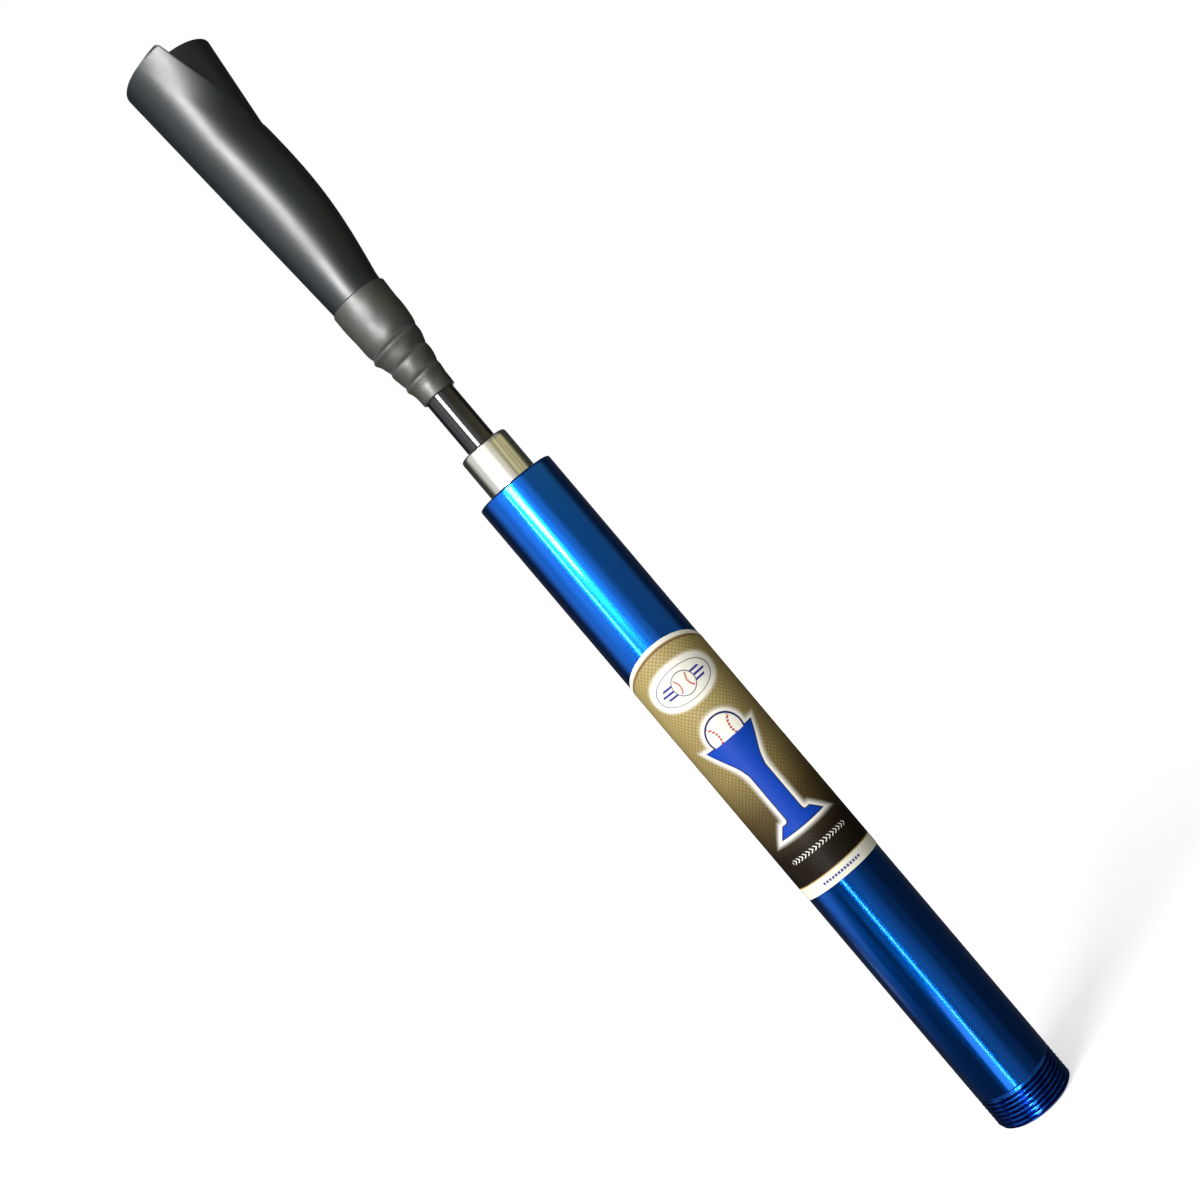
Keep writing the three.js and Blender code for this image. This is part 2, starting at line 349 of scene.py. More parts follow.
# Drawn tube, dyed black and sealed: mirror-like, so it shows one thin bright streak on black.
GLOSS_BLACK_ANODISED_TUBE = Finish(
    name="gloss_black_anodised_aluminium",
    colour="#0b0b0d",
    second_colour="#101013",
    mottle_mm=(2.0, 2.0, 50.0),
    grain_mm=(1.0, 1.0, 120.0),
    roughness=(0.07, 0.11),
    grain_depth_mm=0.0006,
    constants={"Coat Weight": 0.6, "Coat Roughness": 0.03, "Specular IOR Level": 0.3},
)

# Heat-shrunk sleeve: satin warm grey, drawn tight over the steps, with a fine leathery skin.
HEAT_SHRUNK_BOOT = Finish(
    name="heat_shrunk_grey_rubber",
    colour="#37372f",
    second_colour="#2e2e2a",
    mottle_mm=(7.0, 7.0, 9.0),
    grain_mm=(0.35, 0.35, 0.35),
    roughness=(0.46, 0.55),
    grain_depth_mm=0.012,
    # Painted shade: the colour darkens into the creases that the crease attribute marks.
    creased_by="crease",
    constants={"Specular IOR Level": 0.7},
)

# Calendered rubber sheet: smooth charcoal with a dull polish that spreads highlights into a broad band.
CALENDERED_RUBBER_SHEET = Finish(
    name="calendered_charcoal_rubber",
    colour="#141b1f",
    second_colour="#101517",
    mottle_mm=(9.0, 9.0, 22.0),
    grain_mm=(0.4, 0.4, 0.4),
    roughness=(0.36, 0.44),
    grain_depth_mm=0.01,
    constants={"Specular IOR Level": 0.46},
)

# Moulded rubber, matt from the mould's blasted face.
MOULDED_CORE_RUBBER = Finish(
    name="moulded_core_rubber",
    colour="#1e1e20",
    second_colour="#262628",
    mottle_mm=(4.0, 4.0, 4.0),
    grain_mm=(0.3, 0.3, 0.3),
    roughness=(0.6, 0.75),
    grain_depth_mm=0.02,
)

# Rings punched from thick sheet: matt black, with a dry, slightly dusty face.
PUNCHED_BUMPER_RUBBER = Finish(
    name="punched_bumper_rubber",
    colour="#161616",
    second_colour="#202020",
    mottle_mm=(3.0, 3.0, 3.0),
    grain_mm=(0.25, 0.25, 0.25),
    roughness=(0.65, 0.8),
    grain_depth_mm=0.02,
)

# Nitrile rings, flash-trimmed and greased: black with a wet gloss.
GREASED_NITRILE = Finish(
    name="greased_nitrile_rubber",
    colour="#0f0f10",
    second_colour="#151516",
    mottle_mm=(2.0, 2.0, 2.0),
    grain_mm=(0.3, 0.3, 0.3),
    roughness=(0.2, 0.35),
    grain_depth_mm=0.004,
)

# Acetal turned on a lathe: milky white, slightly waxy, with fine rings left by the tool.
TURNED_ACETAL = Finish(
    name="turned_white_acetal",
    colour="#e6e3da",
    second_colour="#dedbd1",
    mottle_mm=(6.0, 6.0, 6.0),
    grain_mm=(40.0, 40.0, 0.25),
    roughness=(0.35, 0.45),
    grain_depth_mm=0.006,
    constants={"Subsurface Weight": 0.1, "Subsurface Scale": 0.001},
)

# Hardened dowel pins, ground to size: cool grey steel with fine rings round the pin.
GROUND_STEEL = Finish(
    name="ground_dowel_steel",
    colour="#a3a5a8",
    second_colour="#8f9194",
    mottle_mm=(2.0, 4.0, 4.0),
    grain_mm=(0.15, 20.0, 20.0),
    roughness=(0.2, 0.32),
    grain_depth_mm=0.002,
    metallic=1.0,
)


# ---- Modelling by hand, in code ----


def select_only(piece: Piece) -> None:
    """Selects the piece alone and makes it the active one.

    Args:
        piece: the piece to select.
    """
    bpy.ops.object.select_all(action="DESELECT")
    piece.select_set(True)
    bpy.context.view_layer.objects.active = piece


@contextmanager
def editing(piece: Piece) -> Iterator[None]:
    """Holds the piece alone in edit mode, all selected, and leaves it again.

    Args:
        piece: the piece to edit.
    """
    select_only(piece)
    bpy.ops.object.mode_set(mode="EDIT")
    bpy.ops.mesh.select_all(action="SELECT")
    yield
    bpy.ops.object.mode_set(mode="OBJECT")


def started(name: str, primitive: Callable[..., Any], **settings: Any) -> Piece:
    """Starts a piece from a primitive, with nothing else selected.

    Args:
        name: the name of the piece and its mesh.
        primitive: the operator that adds the primitive.
        settings: the operator's own settings.

    Returns:
        The new piece.
    """
    bpy.ops.object.select_all(action="DESELECT")
    primitive(**settings)
    piece = bpy.context.object
    piece.name = piece.data.name = name
    return piece


def eased(points: Sequence[Point], segments: int = 5) -> list[tuple[float, float]]:
    """Rounds the corners of a profile, with a holding point on each side that keeps the flats flat.

    Args:
        points: radius and height, with a third number where the corner is rounded that far back, and a
            fourth where it is rounded so far onwards instead.
        segments: the number of short edges in a rounded corner.

    Returns:
        The profile's radius and height points.
    """
    out: list[tuple[float, float]] = []
    for i, point in enumerate(points):
        corner = Vector(point[:2])
        if len(point) < 3:
            out.append(tuple(corner))
            continue
        before, after = Vector(points[i - 1][:2]), Vector(points[(i + 1) % len(points)][:2])
        start = (before - corner).normalized() * point[2]
        end = (after - corner).normalized() * point[-1]
        out.append(tuple(corner + start * HOLD))
        for step in range(segments + 1):
            s = step / segments
            out.append(tuple(corner + start * (1 - s) ** 2 + end * s * s))
        out.append(tuple(corner + end * HOLD))
    return out


def turned(name: str, profile: Sequence[Point], steps: int = SMALL_STEPS) -> Piece:
    """Turns a piece from its profile, as on a lathe: a point is extruded along it and the line is spun.

    Args:
        name: the piece's name.
        profile: radius and height points, outwards along the bottom, up the outside and back inwards.
            One that starts and ends on the axis stays open, and any other is closed.
        steps: the number of steps round the axis.

    Returns:
        The turned piece, smooth except at its sharp edges.
    """
    points = eased(profile)
    if points[0][0] > 0:
        points.append(points[0])
    piece = started(name, bpy.ops.mesh.primitive_plane_add, size=MM, calc_uvs=False)
    with editing(piece):
        bpy.ops.mesh.merge(type="CENTER")
        bpy.ops.transform.translate(value=(points[0][0] * MM, 0, points[0][1] * MM))
        for (r0, z0), (r1, z1) in zip(points, points[1:]):
            move = {"value": ((r1 - r0) * MM, 0, (z1 - z0) * MM)}
            bpy.ops.mesh.extrude_vertices_move(TRANSFORM_OT_translate=move)
        bpy.ops.mesh.select_all(action="SELECT")
        bpy.ops.mesh.spin(steps=steps, angle=2 * math.pi, center=(0, 0, 0), axis=(0, 0, 1))
        bpy.ops.mesh.select_all(action="SELECT")
        bpy.ops.mesh.remove_doubles(threshold=0.002 * MM)
        bpy.ops.mesh.normals_make_consistent(inside=False)
    smooth(piece)
    return piece


def smooth(piece: Piece, degrees: float = 35) -> None:
    """Shades the piece smooth, with edges sharper than so many degrees kept crisp."""
    select_only(piece)
    bpy.ops.object.shade_smooth_by_angle(angle=math.radians(degrees))


def reshaped(piece: Piece, shape: Callable[[Vector], Vector]) -> None:
    """Moves every vertex of the piece.

    Args:
        piece: the piece to shape.
        shape: gives a point's new place, both in millimetres.
    """
    for vertex in piece.data.vertices:
        vertex.co = shape(vertex.co / MM) * MM
    piece.data.update()


def finished(piece: Piece, kind: str, **settings: Any) -> None:
    """Adds a modifier with its settings and applies it.

    Args:
        piece: the piece that gets it.
        kind: the modifier's type.
        settings: the modifier's own settings.
    """
    select_only(piece)
    bpy.ops.object.modifier_add(type=kind)
    modifier = piece.modifiers[-1]
    for key, value in settings.items():
        setattr(modifier, key, value)
    bpy.ops.object.modifier_apply(modifier=modifier.name)


def cross_pin(name: str, radius: float, length: float, height: float) -> Piece:
    """Makes a pin along X, with eased ends.

    Args:
        name: the piece's name.
        radius: the pin's radius.
        length: its length.
        height: its axis's height.

    Returns:
        The pin.
    """
    pin = started(
        name,
        bpy.ops.mesh.primitive_cylinder_add,
        vertices=48,
        radius=radius * MM,
        depth=length * MM,
        location=(0, 0, height * MM),
        rotation=(0, math.pi / 2, 0),
        calc_uvs=False,
    )
    bpy.ops.object.transform_apply(location=True, rotation=True, scale=True)
    finished(pin, "BEVEL", width=0.2 * MM, segments=3, limit_method="ANGLE", angle_limit=math.radians(60))
    smooth(pin)
    return pin


def cross_drilled(piece: Piece, radius: float, height: float) -> None:
    """Drills right through the piece along X.

    Args:
        piece: the piece that gets the hole.
        radius: the hole's radius.
        height: its axis's height.
    """
    through = 60.0
    drill = cross_pin("drill", radius, through, height)
    finished(piece, "BOOLEAN", operation="DIFFERENCE", solver="EXACT", object=drill)
    bpy.data.objects.remove(drill)
    smooth(piece)


def heights(node: str) -> tuple[float, float]:
    """Returns the lowest and highest point of a CAD node, in millimetres."""
    low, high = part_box(node)
    return low.z / MM, high.z / MM


def triangles(piece: Piece) -> int:
    """Counts the piece's triangles."""
    return sum(len(face.vertices) - 2 for face in piece.data.polygons)


def placed(piece: Piece, finish: "Finish | PrintedVinylWrap", node: str, slot: Slot, body: Body) -> None:
    """Dresses the piece and puts it in place of a CAD node, on its body.

    Args:
        piece: the finished shape.
        finish: its finish.
        node: the CAD node that it stands for.
        slot: the record's material slot; not used.
        body: the body that it rides on.
    """
    finish.dress(piece)
    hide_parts(node)
    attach(piece, body.value)
    LOG.info("%s for %s on %s: %d triangles", piece.name, node, body.value, triangles(piece))


@dataclass(frozen=True)
class PlainRing:
    """A turned ring that takes its heights from the CAD node that it stands for.

    Its outside comes from there too, unless it is given.
    """

    name: str
    node: str
    body: Body
    made_of: tuple[Finish, Slot]
    bore: float
    ease: float
    outside: float | None = None

    def build(self) -> None:
        """Turns and places the ring."""
        low, high = heights(self.node)
        outside = self.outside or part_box(self.node)[1].y / MM
        corners = ((self.bore, low), (outside, low), (outside, high), (self.bore, high))
        ring = turned(self.name, [(radius, height, self.ease) for radius, height in corners])
        finish, slot = self.made_of
        placed(ring, finish, self.node, slot, self.body)


ACETAL = (TURNED_ACETAL, Slot.ACETAL)
BUMPER = (PUNCHED_BUMPER_RUBBER, Slot.BUMPER)


# ---- The label's print ----


@dataclass(frozen=True)
class Flare:
    """A printed shape whose half width changes by slope with height and is half_width at a height."""

    slope: float
    at: float
    half_width: float
    middle: float
    half_tall: float


@dataclass
class Press:
    """Prints inks one over another on the label, at places across it and up it in millimetres.

    A distance is below 0 inside its shape. A mask is 1 inside and 0 outside.
    """

    tree: Tree
    x: Feed
    z: Feed
    ink: Feed = None

    def __post_init__(self) -> None:
        """Readies the node maker and the distance from the label's middle line."""
        self.add = partial(add_node, self.tree)
        self.side = self.add("Math", self.x, operation="ABSOLUTE")

    def fading(self, value: Feed, near: float, far: float, power: float = 1.0) -> Feed:
        """Fades out between two distances.

        Args:
            value: what is measured.
            near: up to where the result is 1.
            far: from where it is 0.
            power: above 1, how quickly it falls at first.

        Returns:
            The fading mask.
        """
        edges = {"Value": value, "From Min": near, "From Max": far, "To Min": 1.0, "To Max": 0.0}
        fade = self.add("MapRange", named=edges)
        return fade if power == 1.0 else self.add("Math", fade, power, operation="POWER")

    def below(self, value: Feed, limit: float, soft: float = 0.12) -> Feed:
        """Masks what is below a limit, with an edge soft on both sides by so many millimetres."""
        return self.fading(value, limit - soft, limit + soft)

    def all_of(self, first: Feed, *others: Feed) -> Feed:
        """Masks what every mask covers.

        Args:
            first: a mask.
            others: the other masks.

        Returns:
            Their product.
        """
        for mask in others:
            first = self.add("Math", first, mask, operation="MULTIPLY")
        return first

    def off(self, value: Feed, at: float) -> Feed:
        """Returns how far a value lies from a number, either way."""
        return self.add("Math", self.add("Math", value, at, operation="SUBTRACT"), operation="ABSOLUTE")

    def oval(self, across: Feed, centre: float, height: float, radius: float, squash: float = 1.0) -> Feed:
        """Measures the distance from an oval.

        Args:
            across: the place across the label, or its distance from the middle line.
            centre: the oval's centre across the label.
            height: its centre's height.
            radius: half its width.
            squash: its height as a share of its width.

        Returns:
            The distance.
        """
        out = self.add("Math", across, centre, operation="SUBTRACT")
        above = self.add("Math", self.z, height, operation="SUBTRACT")
        up = self.add("Math", above, squash, operation="DIVIDE")
        far = self.add("VectorMath", self.add("CombineXYZ", out, up), operation="LENGTH")
        return self.add("Math", far.outputs["Value"], radius, operation="SUBTRACT")

    def flare(self, shape: Flare) -> Feed:
        """Measures the distance from a flared shape on the label's middle line.

        Args:
            shape: the flared shape.

        Returns:
            The distance.
        """
        at_foot = shape.half_width - shape.slope * shape.at
        edge = self.add("Math", self.z, shape.slope, at_foot, operation="MULTIPLY_ADD")
        level = self.add("Math", self.side, edge, operation="SUBTRACT")
        square = self.add("Math", level, 1 / math.hypot(1, shape.slope), operation="MULTIPLY")
        tall = self.add("Math", self.off(self.z, shape.middle), shape.half_tall, operation="SUBTRACT")
        return self.add("Math", square, tall, operation="MAXIMUM")

    def lay(self, ink: str, mask: Feed) -> None:
        """Prints an ink over what is there, where the mask is 1."""
        self.ink = self.add("Mix", mask, *BLANKS, self.ink, linear(ink), data_type="RGBA").outputs[2]


@dataclass(frozen=True)
class PrintedBall:
    """A white ball with two curved seams of red stitches.

    The white starts inset inside the radius, and the seams end seam_inset inside it.
    """

    height: float
    radius: float
    inset: float
    soft: float
    seam_off: float
    seam_radius: float
    seam_inset: float
    seam_soft: float
    stitch_rate: float
    stitch_swing: float
    stitch_half_width: float
    white: str
    red: str = "#b8262e"

    def outline(self, press: Press) -> Feed:
        """Measures the distance from the ball."""
        return press.oval(press.x, 0.0, self.height, self.radius)

    def draw(self, press: Press) -> None:
        """Prints the white ball and its stitches.

        Args:
            press: the label's press.
        """
        ball = self.outline(press)
        press.lay(self.white, press.below(ball, self.inset, self.soft))
        off_seam = press.oval(press.side, self.seam_off, self.height, self.seam_radius)
        seam = press.add("Math", off_seam, operation="ABSOLUTE")
        turn = press.add("Math", press.z, self.stitch_rate, operation="MULTIPLY")
        wave = press.add("Math", turn, operation="SINE")
        stitch = press.add("Math", wave, self.stitch_swing, self.stitch_half_width, operation="MULTIPLY_ADD")
        sewn = press.add("Math", seam, stitch, operation="SUBTRACT")
        inside = press.below(ball, self.seam_inset, self.seam_soft)
        press.lay(self.red, press.all_of(press.below(sewn, 0.0, self.soft), inside))


@dataclass(frozen=True)
class PrintedVinylWrap:
    """Vinyl wrap, digitally printed and laminated: flat ink colours under a soft satin film.

    The print is a tan cloth ground that fades to dark brown, cream borders, an oval badge with a ball,
    and a large blue tee that holds a ball. The piece's UV map runs round the tube from -half_round to
    half_round and up it from low to high.
    """

    name: str = "printed_vinyl_wrap"
    radius: float = 19.26
    half_round: float = 61.0
    low: float = 125.0
    high: float = 260.0
    bottom_at_sides: float = 128.6
    bottom_arch: float = 1.6
    top_at_sides: float = 245.0
    top_arch: float = 11.4

    tan_from: float = 135.0
    tan_to: float = 255.0
    tans: Sequence[tuple[float, str]] = (
        (0.0, "#1b150d"),
        (0.13, "#231b11"),
        (0.3, "#5a4a2b"),
        (0.48, "#92804f"),
        (0.75, "#ad9a62"),
        (1.0, "#b3a068"),
    )
    weave_pitch: float = 2.2
    weave_relief: float = 0.55
    weave_floor: float = 0.72
    shade_from: float = 8.0
    shade_to: float = 34.0
    back_light: float = 0.7

    badge: tuple[float, float, float] = (235.9, 17.0, 0.6)
    badge_line: tuple[float, float, float] = (235.6, 14.2, 0.55)
    line_half_width: float = 0.26
    bar_pitch: float = 1.1
    bar_half_tall: float = 0.48
    bar_reach: float = 11.6
    bar_slant: float = -0.8
    bars_half_tall: float = 2.7
    badge_ball: PrintedBall = PrintedBall(
        height=235.6,
        radius=5.3,
        inset=-0.15,
        soft=0.1,
        seam_off=6.9,
        seam_radius=4.9,
        seam_inset=-0.5,
        seam_soft=0.1,
        stitch_rate=7.0,
        stitch_swing=0.22,
        stitch_half_width=0.3,
        white="#f6f3e6",
    )

    cup: Flare = Flare(0.56, 191.0, 4.3, 198.2, 7.6)
    stem: Flare = Flare(0.0, 176.0, 4.1, 176.0, 16.0)
    plate: Flare = Flare(-0.9, 160.0, 9.6, 160.3, 2.2)
    cup_blend: float = 4.0
    plate_blend: float = 2.5
    outline_width: float = 0.3
    cupped_ball: PrintedBall = PrintedBall(
        height=208.6,
        radius=8.6,
        inset=-0.5,
        soft=0.12,
        seam_off=10.6,
        seam_radius=7.4,
        seam_inset=-0.6,
        seam_soft=0.15,
        stitch_rate=4.4,
        stitch_swing=0.3,
        stitch_half_width=0.32,
        white="#f7f4e8",
    )

    chevron_height: float = 17.4
    chevron_pitch: float = 0.95
    chevron_half_tall: float = 1.15
    chevron_run: float = 15.6
    dash_height: float = 2.9
    dash_pitch: float = 0.8
    dash_run: float = 10.4
    foot_bands: Sequence[tuple[str, float]] = (("#b79a58", 6.3), ("#efeedb", 5.8))
    top_bands: Sequence[tuple[str, float]] = (("#5a1f22", 3.2), ("#a18a55", 2.75), ("#f4f1e4", 2.0))

    film_grain_mm: Point = (1.5, 1.5, 1.5)
    film_relief_mm: float = 0.006
    film_roughness: tuple[float, float] = (0.38, 0.48)
    film_specular: float = 0.09

    def edges(self, angle: float) -> tuple[float, float]:
        """Returns the heights of the wrap's foot and arched top at an angle from the front, in radians."""
        rise = math.cos(angle)
        return self.bottom_at_sides + self.bottom_arch * rise, self.top_at_sides + self.top_arch * rise

    def uv(self, arc: float, height: float) -> tuple[float, float]:
        """Returns the UV place of a point on the wrap."""
        across = (arc + self.half_round) / (2 * self.half_round)
        return across, (height - self.low) / (self.high - self.low)

    def cloth(self, press: Press) -> Socket:
        """Lays the tan ground, dark brown towards the foot and darker round the back, with a diamond weave.

        Args:
            press: the label's press.

        Returns:
            The ground's colour.
        """
        up = press.add("MapRange", press.z, self.tan_from, self.tan_to)
        ramp = press.add("ValToRGB", up)
        set_stops(ramp, [(at, linear(tan)) for at, tan in self.tans])
        waves = []
        for way in ("ADD", "SUBTRACT"):
            run = press.add("Math", press.x, press.z, operation=way)
            turn = press.add("Math", run, math.pi / self.weave_pitch, operation="MULTIPLY")
            waves.append(press.add("Math", turn, operation="SINE"))
        crossed = press.add("Math", press.all_of(*waves), operation="ABSOLUTE")
        weave = press.add("Math", crossed, self.weave_relief, self.weave_floor, operation="MULTIPLY_ADD")
        shade = press.add("MapRange", press.side, self.shade_from, self.shade_to, 1.0, self.back_light)
        light = press.all_of(weave, shade)
        return press.add("Mix", 1.0, *BLANKS, ramp, light, data_type="RGBA", blend_type="MULTIPLY").outputs[2]

    def print_badge(self, press: Press) -> None:
        """Prints a glowing white oval, a thin oval line, and a ball between blue bars.

        Args:
            press: the label's press.
        """
        press.lay("#f6f3e6", press.fading(press.oval(press.x, 0.0, *self.badge), -0.3, 2.6, 1.6))
        line = press.add("Math", press.oval(press.x, 0.0, *self.badge_line), operation="ABSOLUTE")
        press.lay("#4b5070", press.below(line, self.line_half_width, 0.1))
        rise = press.off(press.z, self.badge_ball.height)
        bar = press.add("Math", rise, self.bar_pitch, operation="PINGPONG")
        reach = press.add("Math", rise, self.bar_slant, self.bar_reach, operation="MULTIPLY_ADD")
        past = press.add("Math", press.side, reach, operation="SUBTRACT")
        bars = press.below(rise, self.bars_half_tall, 0.05)
        bars = press.all_of(bars, press.below(bar, self.bar_half_tall, 0.08), press.below(past, 0.0))
        press.lay("#2b2f92", bars)
        press.lay("#5f6270", press.below(self.badge_ball.outline(press), 0.3, 0.1))
        self.badge_ball.draw(press)

    def print_tee(self, press: Press) -> None:
        """Prints the blue tee, of a cup, a stem and a plate, with a ball in it and a glow round both.

        Args:
            press: the label's press.
        """
        cup, stem, plate = (press.flare(shape) for shape in (self.cup, self.stem, self.plate))
        post = press.add("Math", cup, stem, self.cup_blend, operation="SMOOTH_MIN")
        tee = press.add("Math", post, plate, self.plate_blend, operation="SMOOTH_MIN")
        both = press.add("Math", tee, self.cupped_ball.outline(press), operation="MINIMUM")
        outline = press.add("Math", both, self.outline_width, operation="SUBTRACT")
        press.lay("#f7f4e8", press.fading(outline, 0.9, 3.2, 1.5))
        press.lay("#16235e", press.below(outline, 0.1))
        self.cupped_ball.draw(press)
        press.lay("#0842b2", press.below(tee, -0.1))

    def print_borders(self, press: Press) -> None:
        """Prints a row of white chevrons, the foot band with a row of dashes, and the top border.

        Args:
            press: the label's press.
        """
        turn = press.add("Math", press.x, self.radius, operation="DIVIDE")
        rise = press.add("Math", turn, operation="COSINE")
        foot = press.add("Math", rise, self.bottom_arch, self.bottom_at_sides, operation="MULTIPLY_ADD")
        top = press.add("Math", rise, self.top_arch, self.top_at_sides, operation="MULTIPLY_ADD")
        above_foot = press.add("Math", press.z, foot, operation="SUBTRACT")
        below_top = press.add("Math", top, press.z, operation="SUBTRACT")
        tip = press.off(above_foot, self.chevron_height)
        slanted = press.add("Math", press.x, tip, operation="ADD")
        run = press.add("Math", slanted, self.chevron_pitch, operation="PINGPONG")
        level = press.below(tip, self.chevron_half_tall)
        row = press.all_of(level, press.below(press.side, self.chevron_run))
        press.lay("#f2efe4", press.all_of(row, press.below(run, 0.3, 0.08)))
        for ink, reach in self.foot_bands:
            press.lay(ink, press.below(above_foot, reach, 0.1))
        dash = press.add("Math", press.x, self.dash_pitch, operation="PINGPONG")
        level = press.below(press.off(above_foot, self.dash_height), 0.6, 0.1)
        row = press.all_of(level, press.below(press.side, self.dash_run))
        press.lay("#4a4296", press.all_of(row, press.below(dash, 0.55, 0.08)))
        for ink, reach in self.top_bands:
            press.lay(ink, press.below(below_top, reach, 0.1))

    def material(self) -> Material:
        """Builds the print, under a film with the laminating roller's faint orange peel.

        Returns:
            The label's material.
        """
        material = bpy.data.materials.new(self.name)
        material.use_nodes = True
        tree = material.node_tree
        shader = tree.nodes["Principled BSDF"]
        add = partial(add_node, tree)
        parts = add("SeparateXYZ", add("UVMap", uv_map="wrap"))
        x = add("Math", parts.outputs[0], 2 * self.half_round, -self.half_round, operation="MULTIPLY_ADD")
        z = add("Math", parts.outputs[1], self.high - self.low, self.low, operation="MULTIPLY_ADD")
        press = Press(tree, x, z)
        press.ink = self.cloth(press)
        self.print_badge(press)
        self.print_tee(press)
        self.print_borders(press)
        peel = mottling(tree, self.film_grain_mm, 2.0)
        relief = add("Bump", named={"Height": peel, "Distance": self.film_relief_mm * MM, "Strength": 1.0})
        low, high = self.film_roughness
        gloss = add("MapRange", named={"Value": peel, "To Min": low, "To Max": high})
        tree.links.new(press.ink, shader.inputs["Base Color"])
        tree.links.new(gloss.outputs[0], shader.inputs["Roughness"])
        tree.links.new(relief.outputs[0], shader.inputs["Normal"])
        shader.inputs["Specular IOR Level"].default_value = self.film_specular
        return material

    def dress(self, piece: Piece) -> None:
        """Gives the piece the printed film."""
        piece.data.materials.append(self.material())


# ---- Sub-assemblies ----


@dataclass
class OuterPost:
    """The blue tube with its thread, label, mouth bushing, bottom plug and bumper."""

    radius: float = 19.05
    bore: float = 16.0
    rim: float = 1.3
    pitch: float = 25.4 / 12
    thread_top: float = 15.4
    run_out: float = 1.3
    root: float = 17.75
    chamfer: float = 1.1
    flank_slope: float = 1.3
    root_flat: float = 0.1
    hold_above: float = 0.3
    rings_per_pitch: int = 12
    wrap: PrintedVinylWrap = PrintedVinylWrap()
    film: float = 0.15
    lap: float = 1.5
    lap_rise: float = 1.2
    lap_gap: float = 0.03
    rings: Sequence[PlainRing] = (
        PlainRing("mouth_guide_bushing", "mouth_bushing", Body.POST, ACETAL, 12.1, 0.6),
        PlainRing("vented_bottom_plug", "bottom_plug", Body.POST, ACETAL, 3.0, 0.8),
        PlainRing("bottom_bumper_ring", "bottom_bumper", Body.POST, BUMPER, 4.0, 0.4),
    )

    def thread_radius(self, point: Vector) -> float:
        """Works out the helical V thread, with a chamfered start and a run-out into the plain tube.

        Args:
            point: a point on the outside of the tube's foot.

        Returns:
            The radius that it is cut to.
        """
        turn = math.atan2(point.y, point.x) / (2 * math.pi)
        phase = (point.z / self.pitch - turn) % 1.0
        ridge = clamp(self.flank_slope * (1 - abs(2 * phase - 1)) - self.root_flat)
        deep = self.radius - self.root
        cut = self.root + deep * ridge
        chamfered = self.root + deep * clamp(point.z / self.chamfer)
        fade = clamp((point.z - self.thread_top) / self.run_out)
        return min(chamfered, cut + (self.radius - cut) * fade)

    def tube(self) -> None:
        """Builds the tube: rings close together in the thread, a soft rim and an eased bore."""
        length = heights("outer_tube")[1]
        top = self.thread_top + self.run_out
        count = int(top / self.pitch * self.rings_per_pitch)
        profile: list[Point] = [(self.bore, 0.0, 0.4)]
        profile += [(self.radius - 1e-3, top * i / count) for i in range(count + 1)]
        profile += [(self.radius, top + self.hold_above), (self.radius, length, self.rim)]
        profile += [(self.bore, length, 0.5)]
        piece = turned("blue_outer_tube", profile, TUBE_STEPS)

        def threaded(point: Vector) -> Vector:
            """Cuts a point to the thread where it lies on the outside of the tube's foot.

            Args:
                point: a point of the plain tube.

            Returns:
                Its new place.
            """
            around = math.hypot(point.x, point.y)
            if point.z > top + self.hold_above / 2 or around < (self.radius + self.bore) / 2:
                return point
            share = self.thread_radius(point) / around
            return Vector((point.x * share, point.y * share, point.z))

        reshaped(piece, threaded)
        smooth(piece, 50)
        placed(piece, BLUE_ANODISED_DRAWN_TUBE, "outer_tube", Slot.BLUE_TUBE, Body.POST)

    def label(self) -> None:
        """Wraps the printed film round the tube, its end lapped over its start at the back."""
        grid = {"x_subdivisions": 240, "y_subdivisions": 16, "size": 1, "calc_uvs": False}
        piece = started("label_wrap", bpy.ops.mesh.primitive_grid_add, **grid)
        inner = self.wrap.radius - self.film
        turn = 2 * math.pi * inner
        places: list[tuple[float, float]] = []

        def wound(point: Vector) -> Vector:
            """Bends a point of the flat film round the tube and notes its place in the print.

            Args:
                point: a point of the flat film.

            Returns:
                Its new place.
            """
            arc = (point.x * MM + 0.5) * (turn + self.lap) - turn / 2
            angle = arc / inner
            low, high = self.wrap.edges(angle)
            height = low + (high - low) * (point.y * MM + 0.5)
            lapped = stepped(arc, turn / 2 - self.lap_rise, turn / 2)
            radius = inner + (self.film + self.lap_gap) * lapped
            places.append(self.wrap.uv(arc, height))
            return Vector((radius * math.sin(angle), -radius * math.cos(angle), height))

        reshaped(piece, wound)
        layer = piece.data.uv_layers.new(name="wrap")
        for loop in piece.data.loops:
            layer.data[loop.index].uv = places[loop.vertex_index]
        with editing(piece):
            bpy.ops.mesh.normals_make_consistent(inside=False)
        outwards = piece.data.polygons[0].normal.dot(piece.data.polygons[0].center) > 0
        finished(piece, "SOLIDIFY", thickness=self.film * MM, offset=1.0 if outwards else -1.0)
        smooth(piece, 40)
        placed(piece, self.wrap, "label", Slot.LABEL, Body.POST)

    def build(self) -> None:
        """Builds and dresses everything on the post."""
        self.tube()
        self.label()
        for ring in self.rings:
            ring.build()


